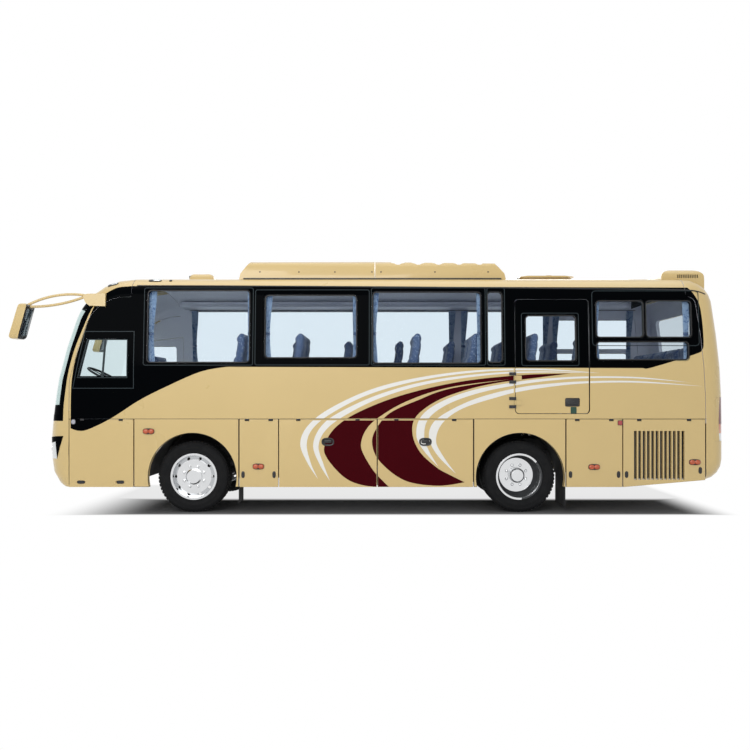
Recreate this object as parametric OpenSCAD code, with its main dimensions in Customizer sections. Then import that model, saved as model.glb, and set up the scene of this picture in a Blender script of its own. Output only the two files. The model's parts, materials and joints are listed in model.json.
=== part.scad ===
// Nine-metre touring coach: hollow body on front and rear frame sections with a
// luggage tub between them, steered front axle, twin rear wheels, opening doors and flaps.
// X runs to the rear, Y to the right-hand side, Z up; the ground is at zero.

/* [Body] */
// Length of the body without its mirrors
body_len = 8995; // [8900:5:9100]
// Width of the body over its side panels
body_w = 2480; // [2440:5:2520]
// Height of the roof crown
roof_z = 3165; // [3120:5:3220]
// Height of the lower edge of the skirt
skirt_z = 337; // [310:1:360]
// Height of the seam between the skirt flaps and the side walls
sill_z = 1222; // [1210:1:1236]
// Height at which the side walls start to lean in
waist_z = 1895; // [1860:5:1930]
// Height of the seam between the side walls and the roof
cant_z = 2955; // [2940:5:2970]
// Lean of the side walls above the waist, in degrees
lean_deg = 3.5; // [2:0.5:5]
// Thickness of walls, roof and end caps
wall_t = 60; // [50:1:70]
// Crown radius of the roof
crown_r = 5500; // [5000:50:6500]
// Radius of the roof edge
edge_r = 240; // [220:5:260]
// Seam between neighbouring panels
seam = 6; // [5:0.5:9]
// Reach of the mirrors ahead of the body
mirror_reach = 270; // [220:5:320]

/* [Front] */
// Height of the foremost point of the bumper
nose_z = 687; // [660:1:720]
// Radius of the bumper's lower curve in side view
bumper_r = 450; // [440:5:480]
// Radius of the front panel in side view
panel_r = 3470; // [3200:10:3800]
// Radius of the windscreen in side view
screen_r = 6430; // [6200:10:6600]
// Rake of the windscreen where the brow begins, in degrees
brow_deg = 19.5; // [18:0.5:21]

/* [Rear] */
// Height where the rear bumper's lower curve ends
tail_z = 690; // [670:1:720]
// Radius of the rear bumper's lower curve
tail_r = 350; // [340:5:400]
// Height where the rear panel starts to lean forward
rear_lean_z = 1160; // [1120:5:1200]
// Radius of the rear panel in side view
rear_r = 10900; // [10500:50:11500]
// Lean of the rear panel at its top, in degrees
rear_deg = 8.5; // [8:0.25:9]

/* [Axles and wheels] */
// Distance from the body front to the front axle
front_overhang = 2005; // [1990:1:2020]
// Distance between the axles
wheelbase = 4250; // [4235:1:4265]
// Outer radius of the tyres
tyre_r = 464; // [450:1:470]
// Width of the tyres
tyre_w = 255; // [240:1:260]
// Distance between the centres of twin tyres
twin_gap = 285; // [278:1:292]
// Distance of the tyre's outer face inside the body side
tyre_inset = 60; // [52:1:70]
// Distance from the tyre centre plane in to the kingpin
king_offset = 202; // [200:1:208]
// Length of the steering arms
steer_arm = 230; // [215:1:245]
// Radius of the wheel arch openings
arch_r = 570; // [565:1:580]
// Number of hand holes in a front wheel
hand_holes = 10; // [8:1:12]

/* [Floor and frame] */
// Height of the passenger floor
floor_z = 1245; // [1240:1:1260]
// Height of the driver's floor
cab_z = 1015; // [990:1:1040]
// Thickness of the floor boards
deck_t = 60; // [50:1:60]
// Half the spacing of the frame rails
rail_y = 430; // [425:1:436]
// Height of a frame rail
rail_h = 180; // [160:2:190]

/* [Doors, flaps and glass] */
// Thickness of the skirt flaps
flap_t = 40; // [34:1:44]
// Thickness of the glass
glass_t = 8; // [6:1:9]
// Depth of the glass below the skin
glass_in = 4; // [3:0.5:6]
// Gap from a skirt flap's edge to its line
flap_gap = 6; // [4:0.5:8]
// Radius of the flap hinge beads
bead_r = 10; // [8:0.5:11]
// Length of the front door's swing arms
door_arm = 420; // [400:2:430]
// Number of grille slots in the radiator flap
grille_slots = 12; // [10:1:14]
// Radius of the tow bores front and rear
tow_bore_r = 18; // [14:0.5:22]

/* [Cabin] */
// Spacing of the seat rows
row_pitch = 772; // [755:1:780]
// Width of one seat
seat_w = 434; // [420:2:440]

/* [Hidden] */
half_w = body_w / 2;
x_front = -(body_len + mirror_reach) / 2 + mirror_reach;
x_rear = x_front + body_len;
x_fa = x_front + front_overhang;
x_ra = x_fa + wheelbase;
in_y = half_w - wall_t;
tyre_y = half_w - tyre_inset - tyre_w / 2;
king_y = tyre_y - king_offset;
axle_z = tyre_r;
deck_z0 = floor_z - deck_t;
pane_in = glass_in + glass_t;
touch = 0.5;
fit = 0.3;
hinge_y = half_w - bead_r;
hinge_z = sill_z - bead_r - 6;
n_crown = 4;
n_corner = 5;

// Skirt lines of the left side, as distances from the body front
cap_d = 405;
f_front = x_front + cap_d;
f_arch0 = x_front + 1250;
f_arch1 = x_front + 2611;
f_fill = x_front + 3124;
f_mid = x_front + 4401;
f_arch2 = x_front + 5649;
f_arch3 = x_front + 6847;
f_end = x_rear - 338;
f_serv = f_arch3 + (f_end - f_arch3) * 735 / 1810;

// Side windows as visible glass: front end, rear end, lower and upper edge
left_panes = [
    [x_front + 1417, x_front + 2738, 1955, 2891],
    [x_front + 2946, x_front + 4130, 2015, 2826],
    [x_front + 4346, x_front + 5746, 1945, 2868],
    [x_front + 5837, x_front + 6022, 1955, 2868],
    [x_front + 7250, x_front + 7860, 2282, 2754],
    [x_front + 7900, x_front + 8482, 2282, 2754],
    [x_front + 7250, x_front + 8440, 1990, 2217]];
right_panes = [
    [x_front + 1400, x_front + 2400, 1955, 2891],
    [x_front + 2570, x_front + 4030, 1955, 2891],
    [x_front + 4220, x_front + 5580, 1955, 2891],
    [x_front + 5760, x_front + 7100, 1955, 2891],
    [x_front + 7250, x_front + 7860, 2282, 2754],
    [x_front + 7900, x_front + 8482, 2282, 2754],
    [x_front + 7250, x_front + 8440, 1990, 2217]];
// Emergency door opening and its glass
em_x0 = x_front + 6187;
em_x1 = x_front + 7158;
em_z0 = 1283;
em_z1 = 2780;
em_gap = 8;
em_rear_gap = 14;
em_glass = [x_front + 6331, x_front + 6979, 1975, 2558];

// Side view of the front on the centre line: place for a given slope
z_b = nose_z + panel_r * sin(5);
x_b = x_front + panel_r * (1 - cos(5));
z_c = z_b + screen_r * (sin(brow_deg) - sin(5));
x_c = x_b + screen_r * (cos(5) - cos(brow_deg));
brow_r = (roof_z - z_c) / (1 - sin(brow_deg));
x_roof0 = x_c + brow_r * cos(brow_deg);
function front_at(a) =
    a <= 0 ? [x_front + bumper_r * (1 - cos(a)), nose_z + bumper_r * sin(a)]
    : a <= 5 ? [x_front + panel_r * (1 - cos(a)), nose_z + panel_r * sin(a)]
    : a <= brow_deg ? [x_b + screen_r * (cos(5) - cos(a)), z_b + screen_r * (sin(a) - sin(5))]
    : [x_c + brow_r * (cos(brow_deg) - cos(a)), z_c + brow_r * (sin(a) - sin(brow_deg))];
// Distance along a rib from the crown to the upright seam behind the front cap
function front_to_seam(a) = (f_front - front_at(a)[0]) / cos(a);
front_plan_r = [[0, 5200], [12, 7000], [brow_deg, 7000], [90, crown_r]];
front_corner_r = [[-80, 160], [0, 300], [12, 190], [brow_deg, 190], [90, edge_r]];
front_end_d = [[0, cap_d], [5, front_to_seam(5)], [8.5, front_to_seam(8.5)], [12, 285], [brow_deg, 285], [90, edge_r + 112]];
front_steps = [-80, -62, -42, -21, 0, 2.5, 5, 8.5, 12, 15.8, brow_deg, 27, 36, 47, 60, 75, 90];

// Side view of the rear on the centre line
z_t = rear_lean_z + rear_r * sin(rear_deg);
x_t = x_rear - rear_r * (1 - cos(rear_deg));
top_r = (roof_z - z_t) / (1 - sin(rear_deg));
x_roof1 = x_t - top_r * cos(rear_deg);
function rear_at(a, up) =
    a < 0 ? [x_rear - tail_r * (1 - cos(a)), tail_z + tail_r * sin(a)]
    : a == 0 ? [x_rear, up ? rear_lean_z : tail_z]
    : a <= rear_deg ? [x_rear - rear_r * (1 - cos(a)), rear_lean_z + rear_r * sin(a)]
    : [x_t - top_r * (cos(rear_deg) - cos(a)), z_t + top_r * (sin(a) - sin(rear_deg))];
rear_plan_r = [[rear_deg, 9000], [90, crown_r]];
rear_corner_r = [[rear_deg, 200], [90, edge_r]];
rear_end_d = [[rear_deg, 332], [90, edge_r + 112]];
rear_steps = [[-80, 0], [-60, 0], [-40, 0], [-20, 0], [0, 0], [0, 1], [2, 1], [4, 1], [6.2, 1],
    [rear_deg, 1], [22, 1], [37, 1], [54, 1], [72, 1], [90, 1]];

// Share of the full width left at height z
function lean(z) = z <= waist_z ? 1 : 1 - (z - waist_z) * tan(lean_deg) / half_w;
// Depth behind the crown at which the rounded corner meets the side
function corner_d(R, r) = R - sqrt(pow(R - r, 2) - pow(half_w - r, 2));
// Half rib: [sideways, depth] pairs from the centre out, set in by t, corner cut at angle b
function rib(R, r, t, b, end) =
    let (phi = asin((half_w - r) / (R - r)), dc = corner_d(R, r))
    concat([for (i = [0:n_crown]) [(R - t) * sin(phi * i / n_crown),
            R - (R - t) * cos(phi * i / n_crown)]],
        [for (i = [1:n_corner]) let (q = phi + (b - phi) * i / n_corner)
            [half_w - r + (r - t) * sin(q), dc - (r - t) * cos(q)]],
        b < 90 ? [] : [[half_w - t, max(end, dc + 2)]]);
// Rib placed on the body: p is its point on the centre line, s = 1 at the front and -1 at the rear
function rib_point(p, a, s, q, side) =
    let (z = p[1] - q[1] * sin(a)) [p[0] + s * q[1] * cos(a), side * q[0] * lean(z), z];
function full_rib(p, a, s, half) = concat(
    [for (i = [len(half) - 1:-1:1]) rib_point(p, a, s, half[i], -1)],
    [for (i = [0:len(half) - 1]) rib_point(p, a, s, half[i], 1)]);
function quad(a, b, c, d, flip) = flip ? [[a, c, b], [a, d, c]] : [[a, b, c], [a, c, d]];
// Solid between an outer and an inner grid of ribs
module rib_solid(outer, inner, flip) {
    n = len(outer);
    m = len(outer[0]);
    o = n * m;
    polyhedron(
        concat([for (r = outer) each r], [for (r = inner) each r]),
        concat(
            [for (i = [0:n - 2], j = [0:m - 2])
                each quad(i * m + j, i * m + j + 1, i * m + m + j + 1, i * m + m + j, flip)],
            [for (i = [0:n - 2], j = [0:m - 2])
                each quad(o + i * m + j, o + i * m + j + 1, o + i * m + m + j + 1, o + i * m + m + j, !flip)],
            [for (j = [0:m - 2]) each quad(j, j + 1, o + j + 1, o + j, !flip)],
            [for (j = [0:m - 2]) let (k = o - m + j) each quad(k, k + 1, o + k + 1, o + k, flip)],
            [for (i = [0:n - 2]) let (k = i * m) each quad(k, k + m, o + k + m, o + k, flip)],
            [for (i = [0:n - 2]) let (k = i * m + m - 1) each quad(k, k + m, o + k + m, o + k, !flip)]));
}
module front_solid(steps, t0, t1, b = 90) {
    rib_solid([for (a = steps) full_rib(front_at(a), max(a, 0), 1, rib(lookup(a, front_plan_r),
            lookup(a, front_corner_r), t0, b, lookup(a, front_end_d)))],
        [for (a = steps) full_rib(front_at(a), max(a, 0), 1, rib(lookup(a, front_plan_r),
            lookup(a, front_corner_r), t1, b, lookup(a, front_end_d)))], false);
}
module rear_solid(steps, t0, t1) {
    rib_solid([for (q = steps) full_rib(rear_at(q[0], q[1]), q[0], -1, rib(lookup(q[0], rear_plan_r),
            lookup(q[0], rear_corner_r), t0, 90, lookup(q[0], rear_end_d)))],
        [for (q = steps) full_rib(rear_at(q[0], q[1]), q[0], -1, rib(lookup(q[0], rear_plan_r),
            lookup(q[0], rear_corner_r), t1, 90, lookup(q[0], rear_end_d)))], true);
}

// The parts of the two ends that lamps, glass, lid and floor follow
lamp_front = [0, 2.5, 5, 8.5];
beam_front = [-21, 0, 2.5, 5];
deck_front = [2.5, 5, 8.5];
dash_front = [2.5, 5, 8.5, 12, 15.8];
low_rear = [[0, 0], [0, 1], [2, 1]];
lid_rear = [[-60, 0], [-40, 0], [-20, 0], [0, 0], [0, 1], [2, 1]];
glass_rear = [[2, 1], [4, 1], [6.2, 1], [rear_deg, 1], [22, 1]];
top_rear = [[rear_deg, 1], [22, 1], [37, 1], [54, 1], [72, 1], [90, 1]];

// Helpers that stand an outline up along X, across Y or along Z
module along_x(x0, x1) translate([x0, 0, 0]) rotate([90, 0, 90]) linear_extrude(x1 - x0) children();
module across_y(y0, y1) translate([0, y1, 0]) rotate([90, 0, 0]) linear_extrude(y1 - y0) children();
module block(x0, x1, y0, y1, z0, z1) translate([x0, y0, z0]) cube([x1 - x0, y1 - y0, z1 - z0]);
module rod_x(x0, x1, y, z, r) translate([x0, y, z]) rotate([0, 90, 0]) cylinder(h = x1 - x0, r = r, $fn = 48);
module rod_y(x, y0, y1, z, r) translate([x, y1, z]) rotate([90, 0, 0]) cylinder(h = y1 - y0, r = r, $fn = 48);
module rod_z(x, y, z0, z1, r) translate([x, y, z0]) cylinder(h = z1 - z0, r = r, $fn = 48);
module sides() {
    children();
    mirror([0, 1, 0]) children();
}
// Outline with rounded corners between two opposite corners
function round_box(x0, z0, x1, z1, r) = [for (c = [[x1 - r, z1 - r, 0], [x0 + r, z1 - r, 90],
    [x0 + r, z0 + r, 180], [x1 - r, z0 + r, 270]], i = [0:4])
    [c[0] + r * cos(c[2] + 22.5 * i), c[1] + r * sin(c[2] + 22.5 * i)]];
function grown(p, g) = [p[0] - g, p[1] + g, p[2] - g, p[3] + g];
module pane_2d(p, g, r) polygon(round_box(p[0] - g, p[2] - g, p[1] + g, p[3] + g, r));

// Cross-section of the body set in by t, down to height z0
module section_2d(t, z0) {
    half = rib(crown_r, edge_r, t, 90, 0);
    top = [for (i = [0:len(half) - 2]) let (z = roof_z - half[i][1]) [half[i][0] * lean(z), z]];
    up = concat([[half_w - t, z0], [half_w - t, waist_z]], [for (i = [len(top) - 1:-1:0]) top[i]]);
    polygon(concat(up, [for (i = [len(up) - 2:-1:0]) [-up[i][0], up[i][1]]]));
}
// Left-hand skin between two depths and two heights, along the whole body
module skin(t0, t1, z0, z1) along_x(x_front, x_rear) intersection() {
    difference() {
        section_2d(t0, skirt_z);
        section_2d(t1, skirt_z - 10);
    }
    translate([-half_w - 50, z0]) square([half_w, z1 - z0]);
}
// Side view of the body's flat sides behind the front cap and ahead of the rear cap
function front_edge(a, g) = let (p = front_at(a), d = lookup(a, front_end_d) + g)
    [p[0] + d * cos(a), p[1] - d * sin(a)];
function rear_edge(a, g) = let (p = rear_at(a, true), d = lookup(a, rear_end_d) + g)
    [p[0] - d * cos(a), p[1] - d * sin(a)];
module sides_2d(g) polygon(concat(
    [[f_front + g, skirt_z - 50]],
    [for (a = [0, 5, 8.5, 12, 15.8, brow_deg, 27, 36, 47, 60, 75, 90]) front_edge(a, g)],
    [[x_roof0 + g, roof_z + 50], [x_roof1 - g, roof_z + 50]],
    [for (a = [90, 72, 54, 37, 22, rear_deg, 6.2, 4, 2, 0]) rear_edge(a, g)],
    [[x_rear - 332 - g, skirt_z - 50]]));
// Driver's window: raked front edge
cab_pane = [[x_front + 530, 1775], [x_front + 1150, 1775], [x_front + 1150, 2248], [x_front + 640, 2248]];
cab_rebate = [[x_front + 502, 1753], [x_front + 1172, 1753], [x_front + 1172, 2270], [x_front + 620, 2270]];
cab_glass = [[x_front + 503, 1754], [x_front + 1171, 1754], [x_front + 1171, 2269], [x_front + 621, 2269]];
// Front door outline with gap g to its opening
door_x1 = f_arch0 - 14;
door_z1 = 2480;
module door_2d(g) polygon(concat([[door_x1 - g, skirt_z + 8 + g], [door_x1 - g, door_z1 - g]],
    [for (a = [18.7, 15.8, 12, 8.5, 5, 0]) front_edge(a, 2 * g)], [[f_front + 2 * g, skirt_z + 8 + g]]));
module door_leaf_2d() intersection() {
    door_2d(7);
    translate([x_front, 0]) square([body_len, door_z1 - 7]);
}

module wall_openings(panes) {
    for (p = panes) {
        across_y(-half_w - 30, -half_w + 160) pane_2d(p, 0, 45);
    }
}
module wall_rebates(panes) {
    intersection() {
        skin(-20, pane_in + touch, sill_z, cant_z);
        across_y(-half_w - 60, -half_w + 160) for (p = panes) pane_2d(p, 20, 60);
    }
}

module side_wall_left() color([0.93, 0.91, 0.84]) difference() {
    intersection() {
        skin(0, wall_t, sill_z, cant_z);
        across_y(-half_w - 10, -half_w + 200) sides_2d(seam);
    }
    wall_openings(left_panes);
    wall_rebates(left_panes);
    across_y(-half_w - 30, -half_w + 160) polygon(cab_pane);
    intersection() {
        skin(-20, pane_in + touch, sill_z, cant_z);
        across_y(-half_w - 30, -half_w + 160) polygon(cab_rebate);
    }
    across_y(-half_w - 30, -half_w + 160) polygon(round_box(em_x0, em_z0, em_x1, em_z1, 50));
}
module side_wall_right() color([0.93, 0.91, 0.84]) mirror([0, 1, 0]) difference() {
    intersection() {
        skin(0, wall_t, sill_z, cant_z);
        across_y(-half_w - 10, -half_w + 200) sides_2d(seam);
    }
    wall_openings(right_panes);
    wall_rebates(right_panes);
    across_y(-half_w - 30, -half_w + 160) union() {
        door_2d(0);
        translate([f_front - 100, skirt_z]) square([400, 1500 - skirt_z]);
    }
}
module window_glass() color([0.2, 0.3, 0.33]) {
    intersection() {
        skin(glass_in, pane_in, sill_z, cant_z);
        across_y(-half_w - 10, -half_w + 160) {
            for (p = left_panes) pane_2d(p, 19.5, 59);
            polygon(cab_glass);
        }
    }
    mirror([0, 1, 0]) intersection() {
        skin(glass_in, pane_in, sill_z, cant_z);
        across_y(-half_w - 10, -half_w + 160) for (p = right_panes) pane_2d(p, 19.5, 59);
    }
    intersection() {
        rear_solid(glass_rear, glass_in, pane_in);
        along_x(x_rear - 400, x_rear + 10) polygon(round_box(-879.5, 1850.5, 879.5, 2719.5, 89));
    }
}
module arch_panel_2d(x0, x1, xc) difference() {
    translate([x0, skirt_z]) square([x1 - x0, sill_z - skirt_z]);
    translate([xc, axle_z]) circle(arch_r, $fn = 128);
}
module arch_panels() color([0.93, 0.91, 0.84]) {
    across_y(-half_w, -in_y) arch_panel_2d(f_arch0 - 0, f_arch1 - 4, x_fa);
    across_y(-half_w, -in_y) arch_panel_2d(f_arch2 + 4, f_arch3 - 4, x_ra);
    across_y(in_y, half_w) arch_panel_2d(f_arch0 - 0, f_fill - 4, x_fa);
    across_y(in_y, half_w) arch_panel_2d(f_arch2 + 4, f_arch3 - 4, x_ra);
}

hatch_x = x_front + 6785;
hatch_l = 760;
module roof() color([0.93, 0.91, 0.84]) {
    difference() {
        along_x(x_roof0 + seam, x_roof1 - seam) intersection() {
            difference() {
                section_2d(0, skirt_z);
                section_2d(wall_t, skirt_z - 10);
            }
            translate([-half_w - 50, cant_z]) square([body_w + 100, roof_z]);
        }
        block(hatch_x - 320, hatch_x + 320, -320, 320, cant_z, roof_z + 100);
    }
    difference() {
        block(hatch_x - 350, hatch_x + 350, -350, 350, roof_z - wall_t + 10, roof_z + 22);
        block(hatch_x - 320, hatch_x + 320, -320, 320, cant_z, roof_z + 100);
    }
}
roof_hinge_x = hatch_x - hatch_l / 2 - 4;
roof_hinge_z = roof_z + 30;
module roof_hatch() color([0.9, 0.89, 0.84]) {
    difference() {
        union() {
            across_y(-hatch_l / 2, hatch_l / 2) polygon([[hatch_x - hatch_l / 2 + 8, roof_z + 28],
                [hatch_x + hatch_l / 2, roof_z + 28], [hatch_x + hatch_l / 2, roof_z + 40],
                [hatch_x + hatch_l / 2 - 120, roof_z + 54], [hatch_x - hatch_l / 2 + 120, roof_z + 54],
                [hatch_x - hatch_l / 2 + 8, roof_z + 40]]);
            across_y(-230, 230) polygon([[hatch_x - 118, roof_z + 50], [hatch_x + 122, roof_z + 50],
                [hatch_x + 122, roof_z + 74], [hatch_x + 96, roof_z + 84], [hatch_x + 40, roof_z + 84]]);
            for (y = [-230, 170]) {
                rod_y(roof_hinge_x, y, y + 60, roof_hinge_z, 8);
                block(roof_hinge_x, roof_hinge_x + 30, y, y + 60, roof_hinge_z, roof_hinge_z + 8);
            }
        }
        for (y = [-240, 160]) rod_y(roof_hinge_x, y, y + 80, roof_hinge_z, 4 + fit);
    }
}

screen_a0 = 7.7;
screen_a1 = 38;
screen_b = 66;
function screen_steps(g, h) = [screen_a0 + g, 10, 12, 15.8, brow_deg, 25, 31, screen_a1 - h];
// Headlamp from the front, and its slanted rear edge from the side
module lamp_2d(g) polygon([[700 - g, 760 - g], [820, 705 - g], [half_w + 20, 700 - g],
    [half_w + 20, 1000 + g], [1080, 975 + g], [760, 900 + g], [700 - g, 850 + g]]);
module lamp_wrap(g) across_y(-half_w - 40, half_w + 40) polygon([[x_front - 60, 690 - g], [x_front + 232 + g, 690 - g],
    [x_front + 338 + g, 1010 + g], [x_front - 60, 1010 + g]]);
module front_cap() color([0.93, 0.91, 0.84]) difference() {
    front_solid(front_steps, 0, wall_t);
    block(x_front - 50, x_front + 700, -half_w - 50, half_w + 50, 0, skirt_z);
    block(f_front, x_front + 800, -half_w - 50, half_w + 50, 0, nose_z);
    front_solid(screen_steps(0, 0), -40, pane_in + touch, screen_b);
    front_solid(screen_steps(0.25, 1.6), 0, wall_t + 60, screen_b - 6);
    for (s = [-1, 1]) intersection() {
        front_solid(lamp_front, -30, 40 + touch);
        scale([1, s, 1]) along_x(x_front - 60, x_front + 360) lamp_2d(touch);
        lamp_wrap(touch);
    }
    for (i = [-3:3]) block(x_front - 60, x_front + 200, -520, 520, 500 + i * 22 - 6, 500 + i * 22 + 6);
    rod_x(x_front - 60, x_front + 200, 330, 620, tow_bore_r);
    rod_x(x_front - 60, x_front + 200, -330, 620, tow_bore_r);
}
module windscreen() color([0.2, 0.3, 0.33])
    front_solid(screen_steps(0.027, 0.2), glass_in, pane_in, screen_b - 0.8);
module headlamps() color([0.85, 0.87, 0.9]) for (s = [-1, 1]) intersection() {
    front_solid(lamp_front, -3, 40);
    scale([1, s, 1]) along_x(x_front - 60, x_front + 359) lamp_2d(0);
    lamp_wrap(0);
}

lid_y = 860;
lid_z0 = 480;
lid_z1 = 1192;
lid_hinge_x = x_rear - 14;
lid_hinge_z = lid_z1 + 8;
module tail_2d(g) polygon([[930 - g, 930 - g], [half_w + 20, 930 - g], [half_w + 20, 1500 + g],
    [1010 - g, 1500 + g]]);
module rear_cap() color([0.93, 0.91, 0.84]) difference() {
    rear_solid(rear_steps, 0, wall_t);
    block(x_rear - 700, x_rear + 50, -half_w - 50, half_w + 50, 0, skirt_z + 91);
    block(x_rear - 800, x_rear - 332, -half_w - 50, half_w + 50, 0, rear_lean_z);
    along_x(x_rear - 400, x_rear + 60) polygon(round_box(-860, 1870, 860, 2700, 70));
    intersection() {
        rear_solid(glass_rear, -20, pane_in + touch);
        along_x(x_rear - 400, x_rear + 60) polygon(round_box(-880, 1850, 880, 2720, 90));
    }
    along_x(x_rear - 200, x_rear + 60) translate([-lid_y, lid_z0]) square([2 * lid_y, lid_z1 + 24 - lid_z0]);
    for (s = [-1, 1]) intersection() {
        rear_solid(low_rear, -30, 40 + touch);
        scale([1, s, 1]) along_x(x_rear - 210, x_rear + 60) tail_2d(touch);
    }
}
module tail_lamps() color([0.6, 0.05, 0.08]) for (s = [-1, 1]) intersection() {
    rear_solid(low_rear, 0, 40);
    scale([1, s, 1]) along_x(x_rear - 209.5, x_rear + 60) tail_2d(0);
}
module engine_lid() color([0.93, 0.91, 0.84]) difference() {
    union() {
        intersection() {
            rear_solid(lid_rear, 0, 45);
            along_x(x_rear - 200, x_rear + 60)
                translate([-lid_y + 8, lid_z0 + 8]) square([2 * lid_y - 16, lid_z1 - lid_z0 - 8]);
        }
        for (y = [-335, -225, 165, 275]) rod_y(lid_hinge_x, y, y + 60, lid_hinge_z, bead_r);
    }
    for (y = [-250, 250]) {
        block(lid_hinge_x - 18, x_rear + 20, y - 25, y + 25, lid_hinge_z - bead_r - 6, lid_hinge_z + bead_r + 6);
        rod_y(lid_hinge_x, y - 75, y + 75, lid_hinge_z, 4 + fit);
    }
}

// Fan wells in the rear half of the air unit
fan_x0 = 308;
fan_pitch = 274;
fan_y = 728;
fan_r = 126;
fan_floor = 98;
fan_hub_r = 46;
module roof_air_unit() color([0.92, 0.91, 0.87]) for (q = [[x_front + 2536, x_front + 4362, 1],
    [x_front + 4370, x_front + 6130, -1]]) difference() {
    across_y(-880, 880) polygon(q[2] > 0
        ? [[q[0], roof_z - 90], [q[0] + 20, roof_z], [q[0] + 150, roof_z + 165], [q[1], roof_z + 170],
            [q[1], roof_z - 90]]
        : [[q[0], roof_z - 90], [q[0], roof_z + 170], [q[1] - 150, roof_z + 140], [q[1] - 20, roof_z],
            [q[1], roof_z - 90]]);
    sides() along_x(q[0] - 10, q[1] + 10) polygon([[-910, roof_z - 100], [-880, roof_z - 100], [-870, roof_z + 90],
        [-845, roof_z + 140], [-790, roof_z + 172], [-790, roof_z + 200], [-910, roof_z + 200]]);
    along_x(q[0] - 10, q[1] + 10) section_2d(-touch, skirt_z);
    if (q[2] < 0) for (i = [0:4], s = [-1, 1]) translate([q[0] + fan_x0 + fan_pitch * i, s * fan_y, roof_z + fan_floor])
        difference() {
            cylinder(h = 200, r = fan_r, $fn = 64);
            translate([0, 0, -1]) cylinder(h = 41, r = fan_hub_r, $fn = 32);
            for (a = [45, 135]) rotate([0, 0, a]) translate([-fan_r - 10, -9, -1]) cube([2 * fan_r + 20, 18, 26]);
        }
}
// Side and end outlines of the rear pod, both domed
pod_x0 = x_rear - 800;
pod_x1 = x_rear - 222;
pod_base = roof_z - 95;
pod_rise = 145;
pod_w = 1860;
pod_side = [for (a = [180:-12:0]) [(pod_x0 + pod_x1) / 2 + (pod_x1 - pod_x0) / 2 * sign(cos(a)) * pow(abs(cos(a)), 0.62),
    pod_base + pod_rise * pow(max(sin(a), 0), 0.62)]];
module rear_roof_pod() color([0.92, 0.91, 0.87]) difference() {
    intersection() {
        across_y(-pod_w / 2, pod_w / 2) polygon(concat(pod_side, [[pod_x1, roof_z - 260], [pod_x0, roof_z - 260]]));
        along_x(pod_x0 - 10, pod_x1 + 10) polygon(round_box(-pod_w / 2, roof_z - 400, pod_w / 2, pod_base + pod_rise, 100));
    }
    along_x(x_rear - 900, x_roof1) section_2d(-touch, skirt_z);
    rear_solid(top_rear, -touch, 240);
    for (i = [0:11], s = [-1, 1]) block(x_rear - 583 + 24 * i, x_rear - 569 + 24 * i,
        s * pod_w / 2 - 22, s * pod_w / 2 + 22, roof_z - 70, roof_z - 22);
}

// Round bar between two points
module bar(p, q, r) {
    d = q - p;
    translate(p) rotate([0, acos(d[2] / norm(d)), atan2(d[1], d[0])]) cylinder(h = norm(d), r = r, $fn = 32);
}
// Round bar bent to the circle through three points
module bent_bar(p, q, e, r) {
    a = q - p;
    b = e - p;
    n = cross(a, b);
    c = p + (cross(n, a) * (b * b) + cross(b, n) * (a * a)) / (2 * (n * n));
    i = (p - c) / norm(p - c);
    k = n / norm(n);
    j = cross(k, i);
    multmatrix([[i[0], j[0], k[0], c[0]], [i[1], j[1], k[1], c[1]], [i[2], j[2], k[2], c[2]], [0, 0, 0, 1]])
        rotate_extrude(angle = acos((p - c) * (e - c) / ((p - c) * (p - c))), $fn = 256)
            translate([norm(p - c), 0]) circle(r, $fn = 24);
}
// Mirror arms: distance behind the head's tip, sideways place and height
arm_top = [[905, 60 - half_w, 2822], [540, -half_w - 15, 2818], [170, -half_w - 90, 2672]];
arm_low = [[900, 60 - half_w, 2826], [560, -half_w - 8, 2706], [170, -half_w - 90, 2662]];
mirror_side = [[0, 2275], [6, 2252], [28, 2243], [96, 2246], [116, 2268], [222, 2655], [216, 2682], [190, 2697],
    [140, 2697], [122, 2684]];
module mirror_one() {
    x0 = x_front - mirror_reach;
    difference() {
        across_y(-1215, -1060) polygon([[x_front + 575, 2810], [x_front + 610, 2730], [x_front + 660, 2690],
            [x_front + 868, 2684], [x_front + 868, 2850], [x_front + 640, 2846], [x_front + 590, 2836]]);
        front_solid([15.8, brow_deg, 27, 36, 47, 60, 75, 90], -touch, 240);
        intersection() {
            skin(-touch, 160, sill_z, cant_z);
            across_y(-half_w - 40, -half_w + 300) sides_2d(seam - touch);
        }
    }
    for (arm = [arm_top, arm_low])
        bent_bar([x0, 0, 0] + arm[0], [x0, 0, 0] + arm[1], [x0, 0, 0] + arm[2], 17);
    intersection() {
        across_y(-half_w - 210, 30 - half_w) polygon([for (q = mirror_side) [x0 + q[0], q[1]]]);
        along_x(x0 - 10, x0 + 300) polygon(round_box(-half_w - 205, 2243, 25 - half_w, 2697, 55));
    }
}
module mirrors() color([0.9, 0.89, 0.84]) sides() mirror_one();

function screen_spot(a, y, off) = [front_at(a)[0] + y * y / 12500 - off, y, front_at(a)[1]];
module wipers() color([0.08, 0.08, 0.09]) for (y = [-640, 260]) {
    p = screen_spot(6.9, y, 5.2);
    q = screen_spot(10.4, y + 60, 24);
    difference() {
        bar(p - [24, 0, 0], p + [24, 0, 0], 18);
        front_solid([2.5, 5, 8.5, 12], -touch, 60);
    }
    bar(p - [18, 0, 0], q, 10);
    bar(screen_spot(8.4, y + 80, 22), screen_spot(12.4, y + 40, 26), 9);
}

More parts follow.
